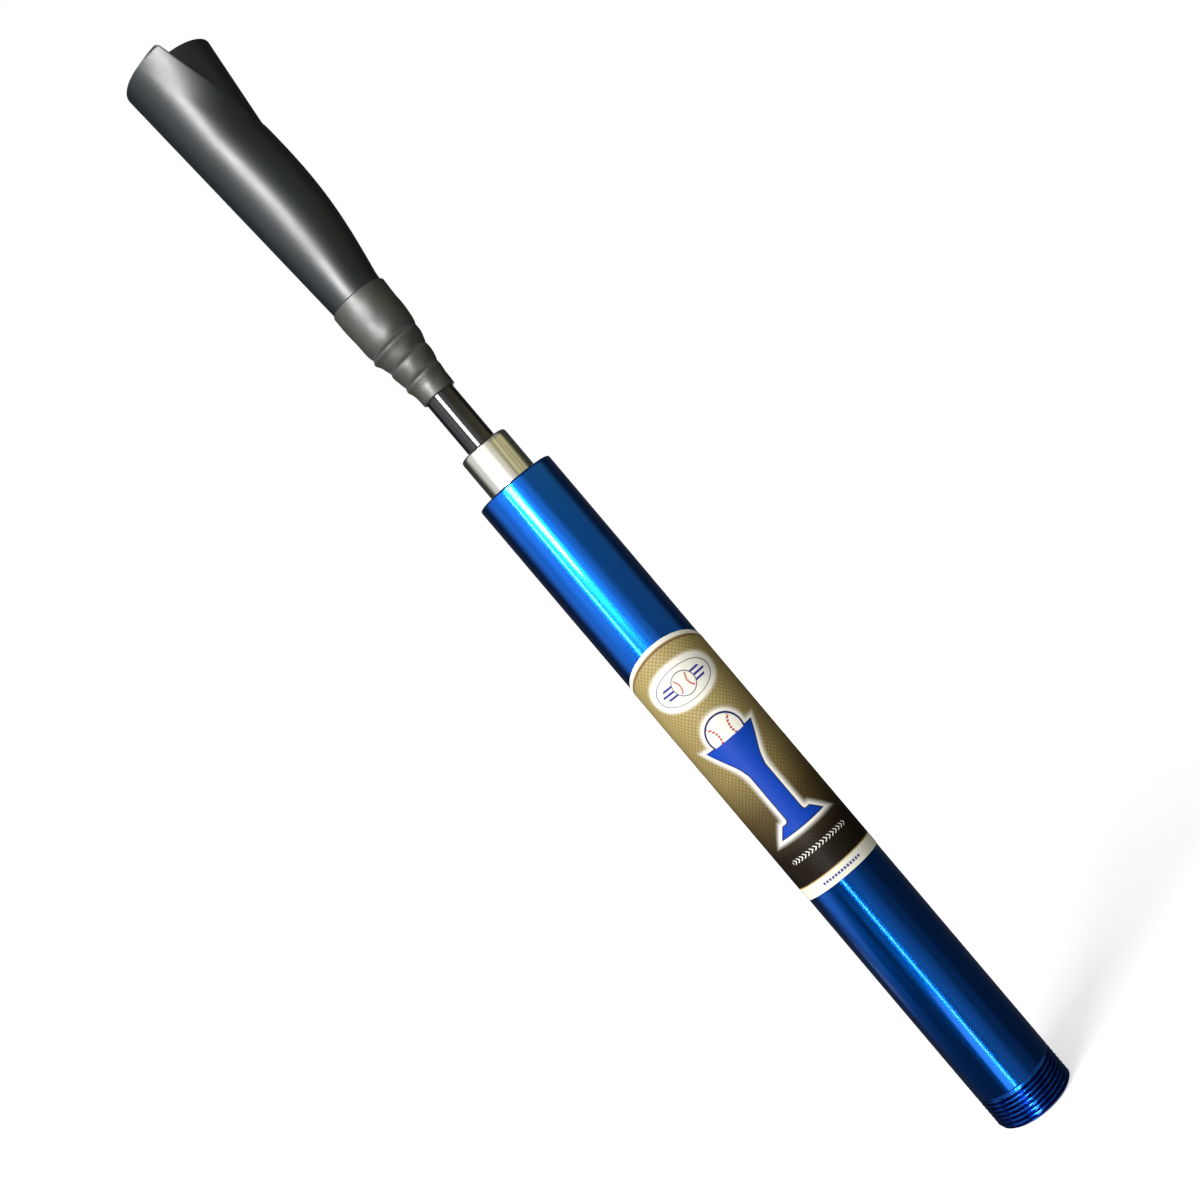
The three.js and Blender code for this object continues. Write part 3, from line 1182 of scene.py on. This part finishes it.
@dataclass
class PistonFoot:
    """A stage's foot: a grooved piston, the pin that holds it in its tube, and two friction rings."""

    stage: str
    body: Body
    seals: Body
    radius: float
    height: float
    spigot: float
    vent: float
    grooves: tuple[float, float]
    groove_width: float
    groove_radius: float
    ring_radius: float
    ring_section: float
    pin_radius: float
    pin_length: float
    pin_clearance: float = 0.3
    pressed_share: float = 0.97

    def levels(self) -> tuple[float, float, float]:
        """Returns the heights of the piston's foot, shoulder and top."""
        low, top = heights(self.stage + "_slider")
        return low, low + self.height, top

    def drill(self, piece: Piece) -> None:
        """Drills the piece for the pin, half way up the piston's spigot."""
        cross_drilled(piece, self.pin_radius + self.pin_clearance, sum(self.levels()[1:]) / 2)

    def piston(self) -> None:
        """Turns and drills the piston and dresses it."""
        low, shoulder, top = self.levels()
        profile: list[Point] = [(self.vent, low, 0.3), (self.radius, low, 0.7)]
        for groove in self.grooves:
            under, over = low + groove - self.groove_width / 2, low + groove + self.groove_width / 2
            profile += [(self.radius, under, 0.15), (self.groove_radius, under, 0.3)]
            profile += [(self.groove_radius, over, 0.3), (self.radius, over, 0.15)]
        profile += [(self.radius, shoulder, 0.4), (self.spigot, shoulder, 0.3)]
        profile += [(self.spigot, top, 0.6), (self.vent, top, 0.3)]
        piston = turned(self.stage + "_piston", profile)
        self.drill(piston)
        placed(piston, TURNED_ACETAL, self.stage + "_slider", Slot.ACETAL, self.body)

    def friction_ring(self, which: str, height: float) -> None:
        """Makes a friction ring, pressed a little flat against the bore, and dresses it.

        Args:
            which: lower or upper.
            height: the height of its middle.
        """
        ring = started(
            f"{self.stage}_friction_ring_{which}",
            bpy.ops.mesh.primitive_torus_add,
            major_segments=SMALL_STEPS,
            minor_segments=24,
            major_radius=self.ring_radius * MM,
            minor_radius=self.ring_section * MM,
            location=(0, 0, height * MM),
            generate_uvs=False,
        )
        bpy.ops.object.transform_apply(location=True, rotation=True, scale=True)
        wall = self.ring_radius + self.pressed_share * self.ring_section

        def pressed(point: Vector) -> Vector:
            """Holds a point inside the bore."""
            share = min(1.0, wall / math.hypot(point.x, point.y))
            return Vector((point.x * share, point.y * share, point.z))

        reshaped(ring, pressed)
        smooth(ring, 60)
        placed(ring, GREASED_NITRILE, f"{self.stage}_o_ring_{which}", Slot.O_RING, self.seals)

    def build(self) -> None:
        """Builds and dresses the piston, its pin and its rings."""
        self.piston()
        low, shoulder, top = self.levels()
        pin = cross_pin(self.stage + "_piston_pin", self.pin_radius, self.pin_length, (shoulder + top) / 2)
        placed(pin, GROUND_STEEL, self.stage + "_slider_pin", Slot.STEEL, self.body)
        for which, groove in zip(("lower", "upper"), self.grooves):
            self.friction_ring(which, low + groove)


@dataclass
class MiddleStage:
    """The polished tube with its lip, guide bushing, bumper and piston."""

    radius: float = 11.9
    bore: float = 10.25
    lip: float = 1.9
    lip_across: float = 1.1
    rings: Sequence[PlainRing] = (
        PlainRing("middle_guide_bushing", "mid_bushing", Body.MIDDLE, ACETAL, 7.35, 0.5, 10.1),
        PlainRing("middle_bumper_ring", "mid_bumper", Body.MIDDLE, BUMPER, 3.0, 0.35, 9.5),
    )

    def foot(self) -> PistonFoot:
        """Sets out the stage's piston, pin and rings.

        Returns:
            The foot, not yet built.
        """
        return PistonFoot(
            stage="mid",
            body=Body.MIDDLE,
            seals=Body.MID_SEALS,
            radius=15.75,
            height=18.0,
            spigot=10.0,
            vent=2.5,
            grooves=(4.5, 13.5),
            groove_width=3.0,
            groove_radius=13.15,
            ring_radius=14.55,
            ring_section=1.25,
            pin_radius=1.5,
            pin_length=22.8,
        )

    def build(self) -> None:
        """Builds and dresses the middle stage."""
        low, top = heights("mid_tube")
        profile: list[Point] = [(self.bore, low, 0.4), (self.radius, low, 0.4)]
        profile += [(self.radius, top, self.lip, self.lip_across), (self.bore, top, 0.3)]
        tube = turned("bright_middle_tube", profile, TUBE_STEPS)
        foot = self.foot()
        foot.drill(tube)
        placed(tube, POLISHED_DRAWN_TUBE, "mid_tube", Slot.BRIGHT_TUBE, Body.MIDDLE)
        for ring in self.rings:
            ring.build()
        foot.build()


@dataclass
class RodStage:
    """The black rod and its piston."""

    radius: float = 7.15
    bore: float = 5.5
    pin_clearance: float = 0.3

    def foot(self) -> PistonFoot:
        """Sets out the stage's piston, pin and rings.

        Returns:
            The foot, not yet built.
        """
        return PistonFoot(
            stage="rod",
            body=Body.INNER,
            seals=Body.ROD_SEALS,
            radius=10.05,
            height=14.0,
            spigot=5.3,
            vent=2.0,
            grooves=(3.5, 10.5),
            groove_width=2.4,
            groove_radius=8.05,
            ring_radius=9.15,
            ring_section=0.95,
            pin_radius=1.0,
            pin_length=13.3,
        )

    def build(self) -> None:
        """Builds and dresses the rod stage."""
        low, top = heights("rod")
        outer, inner = [(self.radius, low, 0.4), (self.radius, top, 0.5)], (self.bore, top, 0.3)
        profile = [(self.bore, low, 0.3), *outer, inner]
        rod = turned("black_inner_rod", profile, TUBE_STEPS)
        foot = self.foot()
        foot.drill(rod)
        pin_low, pin_high = heights("core_pin")
        cross_drilled(rod, (pin_high - pin_low) / 2 + self.pin_clearance, (pin_low + pin_high) / 2)
        placed(rod, GLOSS_BLACK_ANODISED_TUBE, "rod", Slot.BLACK_ROD, Body.INNER)
        foot.build()


def curve_through(points: Sequence[tuple[float, float]], steps: int) -> list[tuple[float, float]]:
    """Draws a soft curve through points.

    Args:
        points: radius and height points in order.
        steps: the number of short edges between two of them.

    Returns:
        The finer run of points, the given ones among them.
    """
    out: list[tuple[float, float]] = []
    ends = [points[0], *points, points[-1]]
    for a, b, c, d in zip(ends, ends[1:], ends[2:], ends[3:]):
        for step in range(steps):
            t = step / steps
            weights = (-0.5 * t + t * t - 0.5 * t**3, 1 - 2.5 * t * t + 1.5 * t**3)
            weights += (0.5 * t + 2 * t * t - 1.5 * t**3, -0.5 * t * t + 0.5 * t**3)
            out.append(tuple(sum(w * p[i] for w, p in zip(weights, (a, b, c, d))) for i in (0, 1)))
    out.append(tuple(points[-1]))
    return out


def read_off(points: Sequence[tuple[float, float]], at: float) -> float:
    """Reads a value off the straight lines between points, held level beyond the ends.

    Args:
        points: places, rising, each with its value.
        at: the place to read.

    Returns:
        The value there.
    """
    for (place, value), (next_place, next_value) in zip(points, points[1:]):
        if place <= at <= next_place:
            return value + (next_value - value) * (at - place) / (next_place - place)
    return points[0][1] if at < points[0][0] else points[-1][1]


@dataclass
class FlexNeck:
    """The stepped rubber core, its pin, and the boot shrunk over both.

    Outside, inside and core are radius and height points. A bulge has a height, a spread and a reach.
    A gather has a reach, a number of lobes, and how far it twists with height.
    """

    bend_from: float = 404.0
    bend_to: float = 436.0
    outside: Sequence[tuple[float, float]] = (
        (7.75, 396.5), (8.3, 396.9), (8.45, 399.0), (8.6, 402.5), (9.0, 404.6), (9.4, 406.3), (9.36, 407.3),
        (9.15, 408.5), (9.5, 409.6), (9.95, 411.5), (10.35, 414.0), (10.46, 415.5), (10.4, 416.4),
        (10.18, 417.4), (10.6, 418.5), (11.1, 420.0), (11.8, 422.3), (12.35, 424.0), (12.4, 425.1),
        (12.12, 426.3), (12.5, 427.5), (12.95, 429.5), (13.15, 432.0), (13.45, 438.0), (13.7, 449.3),
        (13.62, 450.3), (13.4, 450.85), (13.1, 451.1),
    )  # fmt: skip
    inside: Sequence[tuple[float, float]] = (
        (13.0, 450.9), (12.15, 431.0), (12.15, 429.2), (11.1, 428.6), (10.7, 421.0), (9.25, 418.6),
        (9.25, 411.2), (8.4, 410.7), (8.3, 404.0), (7.35, 403.3), (7.35, 396.6),
    )  # fmt: skip
    core: Sequence[Point] = (
        (0.0, 385.0), (5.3, 385.0, 0.5), (5.3, 409.3), (7.35, 409.3), (7.35, 404.5), (8.0, 404.5, 0.3),
        (8.2, 411.0), (9.0, 411.5, 0.3), (9.0, 419.0, 0.4), (10.4, 421.0, 0.4), (10.8, 428.3, 0.4),
        (8.1, 428.3), (8.1, 448.0, 0.8), (0.0, 448.0),
    )  # fmt: skip
    pin_radius: float = 1.2
    pin_length: float = 13.6
    pin_clearance: float = 0.3
    creases: Sequence[float] = (408.0, 416.8, 425.7)
    crease_height: float = 1.1
    crease_tilt: float = 0.5
    tilted_from: tuple[float, float] = (400.0, 406.0)
    tilted_to: tuple[float, float] = (428.0, 434.0)
    bulges: Sequence[tuple[float, float, float]] = ((424.6, 1.6, 0.75), (406.9, 1.5, 0.35), (415.5, 2.0, 0.2))
    bulge_left: float = 0.8
    bulge_all_round: float = 0.1
    gathers: Sequence[tuple[float, int, float]] = ((0.07, 3, 0.35), (0.05, 7, -0.5))

    def outerness(self, around: float, height: float) -> float:
        """Returns 0 for a point of the boot's inner face and 1 on its outer one."""
        inner = read_off([(level, radius) for radius, level in reversed(self.inside)], height)
        return clamp(2 * (around - inner) - 0.5)

    def bulged(self, point: Vector) -> Vector:
        """Swells each step's shoulder out to the left, where the sleeve gathered as it shrank.

        Args:
            point: a point of the plain turned boot.

        Returns:
            Its new place.
        """
        around, angle = math.hypot(point.x, point.y), math.atan2(point.y, point.x)
        outer, left = self.outerness(around, point.z), -point.x / around
        swell = sum(reach * math.exp(-(((point.z - at) / spread) ** 2)) for at, spread, reach in self.bulges)
        gather = sum(far * math.sin(lobes * angle + twist * point.z) for far, lobes, twist in self.gathers)
        share = 1 + outer * (swell * (self.bulge_left * left + self.bulge_all_round) + gather) / around
        tilted = stepped(point.z, *self.tilted_from) * (1 - stepped(point.z, *self.tilted_to))
        sag = outer * self.crease_tilt * left * tilted
        return Vector((point.x * share, point.y * share, point.z - sag))

    def mark_creases(self, boot: Piece) -> None:
        """Marks how deep in a crease each point of the boot lies, for its finish to paint shade there and
        roughen it.

        Args:
            boot: the shaped boot.
        """
        marks = boot.data.attributes.new("crease", "FLOAT", "POINT")
        for vertex in boot.data.vertices:
            x, y, z = vertex.co / MM
            level = z - self.crease_tilt * x / math.hypot(x, y)
            depth = sum(math.exp(-(((level - at) / self.crease_height) ** 2)) for at in self.creases)
            marks.data[vertex.index].value = min(1.0, depth)

    def build(self) -> None:
        """Builds and dresses the neck; core and boot sit between the rod and the cone."""
        boot = turned("shrunk_boot", curve_through(self.outside, 5) + list(self.inside), TUBE_STEPS)
        reshaped(boot, self.bulged)
        self.mark_creases(boot)
        smooth(boot, 50)
        core = turned("neck_core", self.core)
        pin_height = sum(heights("core_pin")) / 2
        cross_drilled(core, self.pin_radius + self.pin_clearance, pin_height)
        start, end = (0, 0, self.bend_from * MM), (0, 0, self.bend_to * MM)
        for piece, finish, node, slot in (
            (boot, HEAT_SHRUNK_BOOT, "boot", Slot.BOOT),
            (core, MOULDED_CORE_RUBBER, "flex_core", Slot.CORE),
        ):
            finish.dress(piece)
            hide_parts(node)
            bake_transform(piece)
            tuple(start)
            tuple(end)
            LOG.info("%s bends from inner to rest: %d triangles", piece.name, triangles(piece))
        pin = cross_pin("neck_core_pin", self.pin_radius, self.pin_length, pin_height)
        placed(pin, GROUND_STEEL, "core_pin", Slot.STEEL, Body.INNER)


@dataclass
class BallRest:
    """The cone that holds the ball: one sheet of rubber rolled a little over two turns.

    The wrap angle, in degrees, runs leftwards and inwards from the free edge's top corner. The free edge
    has depths below the top, each with how many degrees right of the front the edge lies there.
    """

    bottom: float = 431.0
    top: float = 580.3
    neck_height: float = 454.0
    neck_radius: float = 13.0
    taper: float = 0.0583
    left_wrap: float = 104.0
    corner_angle: float = 14.0
    corner_round: float = 1.3
    corner_radius: float = 20.5
    drop_per_turn: float = 4.3
    thickness: float = 1.0
    skived_share: float = 0.5
    skive_angle: float = 30.0
    turn_pitch: float = 1.25
    inner_end: float = 760.0
    puff: float = 3.3
    puff_top: float = 535.0
    puff_wrap: float = -76.0
    puff_reach: float = 125.0
    tuck: float = 0.65
    tuck_from: float = -20.0
    tuck_to: float = 60.0
    lean_from: float = 535.0
    lean: float = 0.055
    spring: float = 2.1
    spring_angle: float = 32.0
    spring_from: float = 528.0
    spring_to: float = 560.0
    free_edge: Sequence[tuple[float, float]] = ((0, 11), (14, 21), (31, 38), (40, 54), (52, 94), (150, 137))
    edge_blur: int = 5
    columns: int = 330
    rows: int = 64
    row_crowding: float = 1.5

    def edge_angle(self, depth: float) -> float:
        """Works out the free edge, softened at its corners and rounded at its top.

        Args:
            depth: the depth below the top.

        Returns:
            How many degrees right of the front it lies.
        """
        blur = self.edge_blur
        shifts = [shift * min(1.0, depth / blur) for shift in range(-blur, blur + 1)]
        angle = sum(read_off(self.free_edge, depth + shift) for shift in shifts) / len(shifts)
        if depth < self.corner_round:
            rest = self.corner_round - depth
            back = self.corner_round - math.sqrt(max(0.0, self.corner_round**2 - rest**2))
            angle -= math.degrees(back / self.corner_radius)
        return angle

    def roll_radius(self, wrap: float, height: float) -> float:
        """Works out the radius of the sheet's outer face.

        Args:
            wrap: the wrap angle.
            height: the height.

        Returns:
            The radius.
        """
        plain = self.neck_radius + self.taper * (height - self.neck_height)
        spiral = -self.turn_pitch * (wrap - self.left_wrap) / 360
        rightness = (1 + math.sin(math.radians(self.corner_angle - wrap))) / 2
        lean = self.lean * max(0.0, height - self.lean_from) * rightness
        tuck = self.tuck * stepped(-wrap, self.tuck_from, self.tuck_to)
        along = clamp((height - self.neck_height) / (self.puff_top - self.neck_height))
        around = min(1.0, abs(wrap - self.puff_wrap) / self.puff_reach)
        crown = math.sin(math.pi * along) * (1 + math.cos(math.pi * around))
        return plain + spiral + lean - tuck + self.puff / 2 * crown

    def rolled(self, point: Vector) -> tuple[Vector, float]:
        """Bends a point of the flat sheet into the roll.

        Args:
            point: the point, half a unit each way from the sheet's middle.

        Returns:
            Its place in millimetres, and how thick the sheet is there as a share.
        """
        inwards, up = point.x + 0.5, 1 - (0.5 - point.y) ** self.row_crowding
        height = self.bottom + (self.top - self.bottom) * up
        edge = self.corner_angle - self.edge_angle(self.top - height)
        wrap = edge + (self.inner_end - edge) * inwards
        thick = min(1.0, self.skived_share + (1 - self.skived_share) * (wrap - edge) / self.skive_angle)
        loose = max(0.0, 1 - (wrap - edge) / self.spring_angle)
        lift = self.spring * loose * loose * stepped(height, self.spring_from, self.spring_to)
        radius = self.roll_radius(wrap, height) + lift
        angle = math.radians(self.corner_angle - wrap)
        drop = self.drop_per_turn * max(0.0, wrap) * up / 360
        return Vector((radius * math.sin(angle), -radius * math.cos(angle), height - drop)), thick

    def build(self) -> None:
        """Rolls the sheet, thins it towards its free edge and dresses it."""
        grid = {"x_subdivisions": self.columns, "y_subdivisions": self.rows, "size": 1, "calc_uvs": False}
        cone = started("rolled_cone", bpy.ops.mesh.primitive_grid_add, **grid)
        group = cone.vertex_groups.new(name="thickness")
        for vertex in cone.data.vertices:
            place, thick = self.rolled(vertex.co.copy())
            vertex.co = place * MM
            group.add([vertex.index], thick, "REPLACE")
        cone.data.update()
        middle = cone.data.polygons[len(cone.data.polygons) // 2]
        if middle.normal.xy.dot(middle.center.xy) < 0:
            with editing(cone):
                bpy.ops.mesh.flip_normals()
        finished(cone, "SOLIDIFY", thickness=self.thickness * MM, offset=-1.0, vertex_group="thickness")
        rim = {"limit_method": "ANGLE", "angle_limit": math.radians(55)}
        finished(cone, "BEVEL", width=0.16 * MM, segments=2, **rim)
        smooth(cone, 40)
        placed(cone, CALENDERED_RUBBER_SHEET, "cone_roll", Slot.CONE, Body.REST)


# ---- Studio ----


class Lights(Enum):
    """What a softbox lights: the gloss that mirrors it, or the matt colour under it."""

    GLOSS = "gloss"
    MATT = "matt"


class Outline(Enum):
    """A softbox's outline."""

    SQUARED = "RECTANGLE"
    OVAL = "ELLIPSE"


@dataclass(frozen=True)
class Softbox:
    """An upright light that faces the post, placed by the angles at which it is seen from the post.

    Azimuth and its half width are degrees right of the front; low and high are degrees above level.
    Away and level are in metres.
    """

    name: str
    azimuth: float
    half_width: float
    low: float
    high: float
    radiance: float
    lights: Lights = Lights.GLOSS
    outline: Outline = Outline.OVAL
    away: float = 1.6
    level: float = 0.285

    def build(self) -> None:
        """Adds the light, hidden from the camera."""
        bpy.ops.object.light_add(type="AREA")
        lamp = bpy.context.object
        lamp.name = lamp.data.name = self.name
        low, high = (self.level + self.away * math.tan(math.radians(end)) for end in (self.low, self.high))
        width = 2 * self.away * math.tan(math.radians(self.half_width))
        lamp.data.shape = self.outline.value
        lamp.data.size, lamp.data.size_y = width, high - low
        filled = math.pi / 4 if self.outline is Outline.OVAL else 1.0
        lamp.data.energy = self.radiance * math.pi * filled * width * (high - low)
        a = math.radians(self.azimuth)
        back = Vector((math.sin(a), -math.cos(a), 0))
        side = Vector((math.cos(a), math.sin(a), 0))
        place = back * self.away + Vector((0, 0, (low + high) / 2))
        turn = Matrix((side, Vector((0, 0, 1)), back)).transposed().to_4x4()
        lamp.matrix_world = Matrix.Translation(place) @ turn
        lamp.visible_camera = False
        lamp.visible_diffuse = self.lights is Lights.MATT
        lamp.visible_glossy = self.lights is Lights.GLOSS


@dataclass(frozen=True)
class Panel:
    """A pale panel in the studio's surroundings, between two azimuths and two heights, all in degrees.

    Its lower edge drops by slant degrees for each degree further left.
    """

    left: float
    right: float
    low: float
    high: float
    brightness: float
    colour: str = "#ffffff"
    soft_sides: float = 8.0
    soft_ends: float = 2.5
    slant: float = 0.0

    def lit(self, tree: Tree, azimuth: Feed, height: Feed) -> Feed:
        """Works out the panel's light.

        Args:
            tree: the surroundings' node tree.
            azimuth: degrees right of the front.
            height: degrees above level.

        Returns:
            Its light in each direction.
        """
        add = partial(add_node, tree)
        tilt = add("Math", azimuth, -self.slant, self.slant * self.right, operation="MULTIPLY_ADD")
        raised = add("Math", height, tilt, operation="ADD")
        light = [part * self.brightness for part in linear(self.colour)[:3]]
        for value, edge, soft in (
            (azimuth, self.left, self.soft_sides),
            (azimuth, self.right, -self.soft_sides),
            (raised, self.low, self.soft_ends),
            (height, self.high, -2 * self.soft_ends),
        ):
            step = {"Value": value, "From Min": edge - soft, "From Max": edge + soft}
            share = add("MapRange", named=step, interpolation_type="SMOOTHSTEP")
            light = add("VectorMath", light, named={"Scale": share}, operation="SCALE")
        return light


@dataclass
class Studio:
    """Camera, lights, white surroundings and a pale floor; its own lengths are in metres."""

    camera_place: Point = (-0.0043, -0.695, 0.2848)
    roll: float = 40.25
    lens: float = 48.45
    sensor: float = 36.0
    floor_size: float = 60.0
    floor_drop: float = 0.0002
    floor_colour: str = "#e4e4e4"
    glow_at: tuple[float, float] = (0.2, 1.6)
    glow: tuple[float, float] = (0.62, 1.0)
    dark: float = 0.05
    boxes: Sequence[Softbox] = (
        Softbox("main_softbox", -19.5, 11, 1.2, 34, 46.0),
        Softbox("thin_strip", -36.5, 1.4, -6, 7, 42.0, outline=Outline.SQUARED),
        Softbox("core_strip", -19, 4.5, 1.6, 7.5, 42.0),
        Softbox("lower_strip", -17.0, 0.8, -38, -13, 30.0, outline=Outline.SQUARED),
        Softbox("low_fan", -28, 13, -43, -24, 2.2),
        Softbox("back_strip", 180, 3, -30, 38, 5.0, outline=Outline.SQUARED),
        Softbox("left_key", -42, 14, 2, 36, 11.0, Lights.MATT, Outline.SQUARED),
    )
    panels: Sequence[Panel] = (
        Panel(-102, -58, -12.4, 40, 0.95, "#f4f9ff", 16.0, 1.2, 0.1),
        Panel(-124, -108, -17.2, -15.3, 0.9, "#f4f9ff", 4.0, 0.6),
        Panel(-64, 8, -3, 40, 1.3, "#ffffff", 9.0, 3.0),
        Panel(8, 27, -4, 40, 0.9, "#ffffff", 10.0, 4.0),
        Panel(30, 96, -5, 40, 0.36, "#f4f4e4", 12.0, 4.0),
        Panel(26, 100, 4.8, 8.4, 0.38, "#fff070", 12.0, 1.2),
        Panel(-8, 26, -27, -6, 0.36, "#ffffff", 12.0, 3.0),
        Panel(26, 60, -24, -6, 0.08, "#ffffff", 8.0, 3.0),
        Panel(-200, 200, -100, -46, 0.5, "#ffffff", 1.0, 7.0),
        Panel(170, 190, -26, 45, 0.8, "#f8fbff", 5.0, 4.0),
        Panel(-190, -170, -26, 45, 0.8, "#f8fbff", 5.0, 4.0),
    )

    def camera(self) -> None:
        """Adds the camera level with the post's middle, rolled so that the post leans left."""
        bpy.ops.object.camera_add()
        camera = bpy.context.object
        camera.name = camera.data.name = "studio_camera"
        camera.data.lens, camera.data.sensor_width = self.lens, self.sensor
        a = math.radians(self.roll)
        right, up = Vector((math.cos(a), 0, -math.sin(a))), Vector((math.sin(a), 0, math.cos(a)))
        turn = Matrix((right, up, Vector((0, -1, 0)))).transposed().to_4x4()
        camera.matrix_world = Matrix.Translation(self.camera_place) @ turn
        camera.data.clip_start, camera.data.clip_end = 0.01, 100
        bpy.context.scene.camera = camera

    def world(self) -> None:
        """Makes the surroundings white to the camera, and dark with pale panels for the object."""
        world = bpy.data.worlds.new("studio")
        bpy.context.scene.world = world
        world.use_nodes = True
        tree = world.node_tree
        tree.nodes.clear()
        add = partial(add_node, tree)
        parts = add("SeparateXYZ", add("TexCoord"))
        ahead = add("Math", parts.outputs[1], -1.0, operation="MULTIPLY")
        azimuth = add("Math", add("Math", parts.outputs[0], ahead, operation="ARCTAN2"), operation="DEGREES")
        height = add("Math", add("Math", parts.outputs[2], operation="ARCSINE"), operation="DEGREES")
        light: Feed = (self.dark,) * 3
        for panel in self.panels:
            light = add("VectorMath", light, panel.lit(tree, azimuth, height), operation="ADD")
        soft = add("Background", light, 1.0)
        white = add("Background", (1.0, 1.0, 1.0, 1.0), 1.0)
        seen = add("LightPath").outputs["Is Camera Ray"]
        add("OutputWorld", add("MixShader", seen, soft, white))

    def floor(self) -> None:
        """Lays a pale floor that takes a soft shadow and doesn't show in the tube's gloss."""
        floor = started("studio_floor", bpy.ops.mesh.primitive_plane_add, size=self.floor_size)
        material = bpy.data.materials.new("pale_matt_floor")
        material.use_nodes = True
        tree = material.node_tree
        shader = tree.nodes["Principled BSDF"]
        shader.inputs["Base Color"].default_value = linear(self.floor_colour)
        shader.inputs["Roughness"].default_value = 0.9
        shader.inputs["Emission Color"].default_value = (1.0, 1.0, 1.0, 1.0)
        place = add_node(tree, "TexCoord").outputs["Object"]
        far = add_node(tree, "VectorMath", place, operation="LENGTH").outputs["Value"]
        glow = add_node(tree, "MapRange", far, *self.glow_at, *self.glow)
        tree.links.new(glow.outputs[0], shader.inputs["Emission Strength"])
        floor.data.materials.append(material)
        floor.visible_glossy = floor.visible_diffuse = floor.visible_shadow = False
        floor.location.z = -self.floor_drop
        floor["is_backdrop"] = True

    def build(self) -> None:
        """Sets up the whole studio."""
        bpy.context.scene.view_settings.view_transform = "Standard"
        self.camera()
        self.world()
        self.floor()
        for softbox in self.boxes:
            softbox.build()


def write_sizes() -> None:
    boxes = {"cad": CAD_BOX, "visual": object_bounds()}
    plain = {name: [list(corner) for corner in box] for name, box in boxes.items()}


def main() -> None:
    """Builds the studio and every sub-assembly, from the floor up."""
    logging.basicConfig(level=logging.INFO, format="%(message)s")
    for assembly in (Studio(), OuterPost(), MiddleStage(), RodStage(), FlexNeck(), BallRest()):
        assembly.build()
        LOG.info("built %s", type(assembly).__name__)
    write_sizes()


if __name__ == "__main__":
    main()
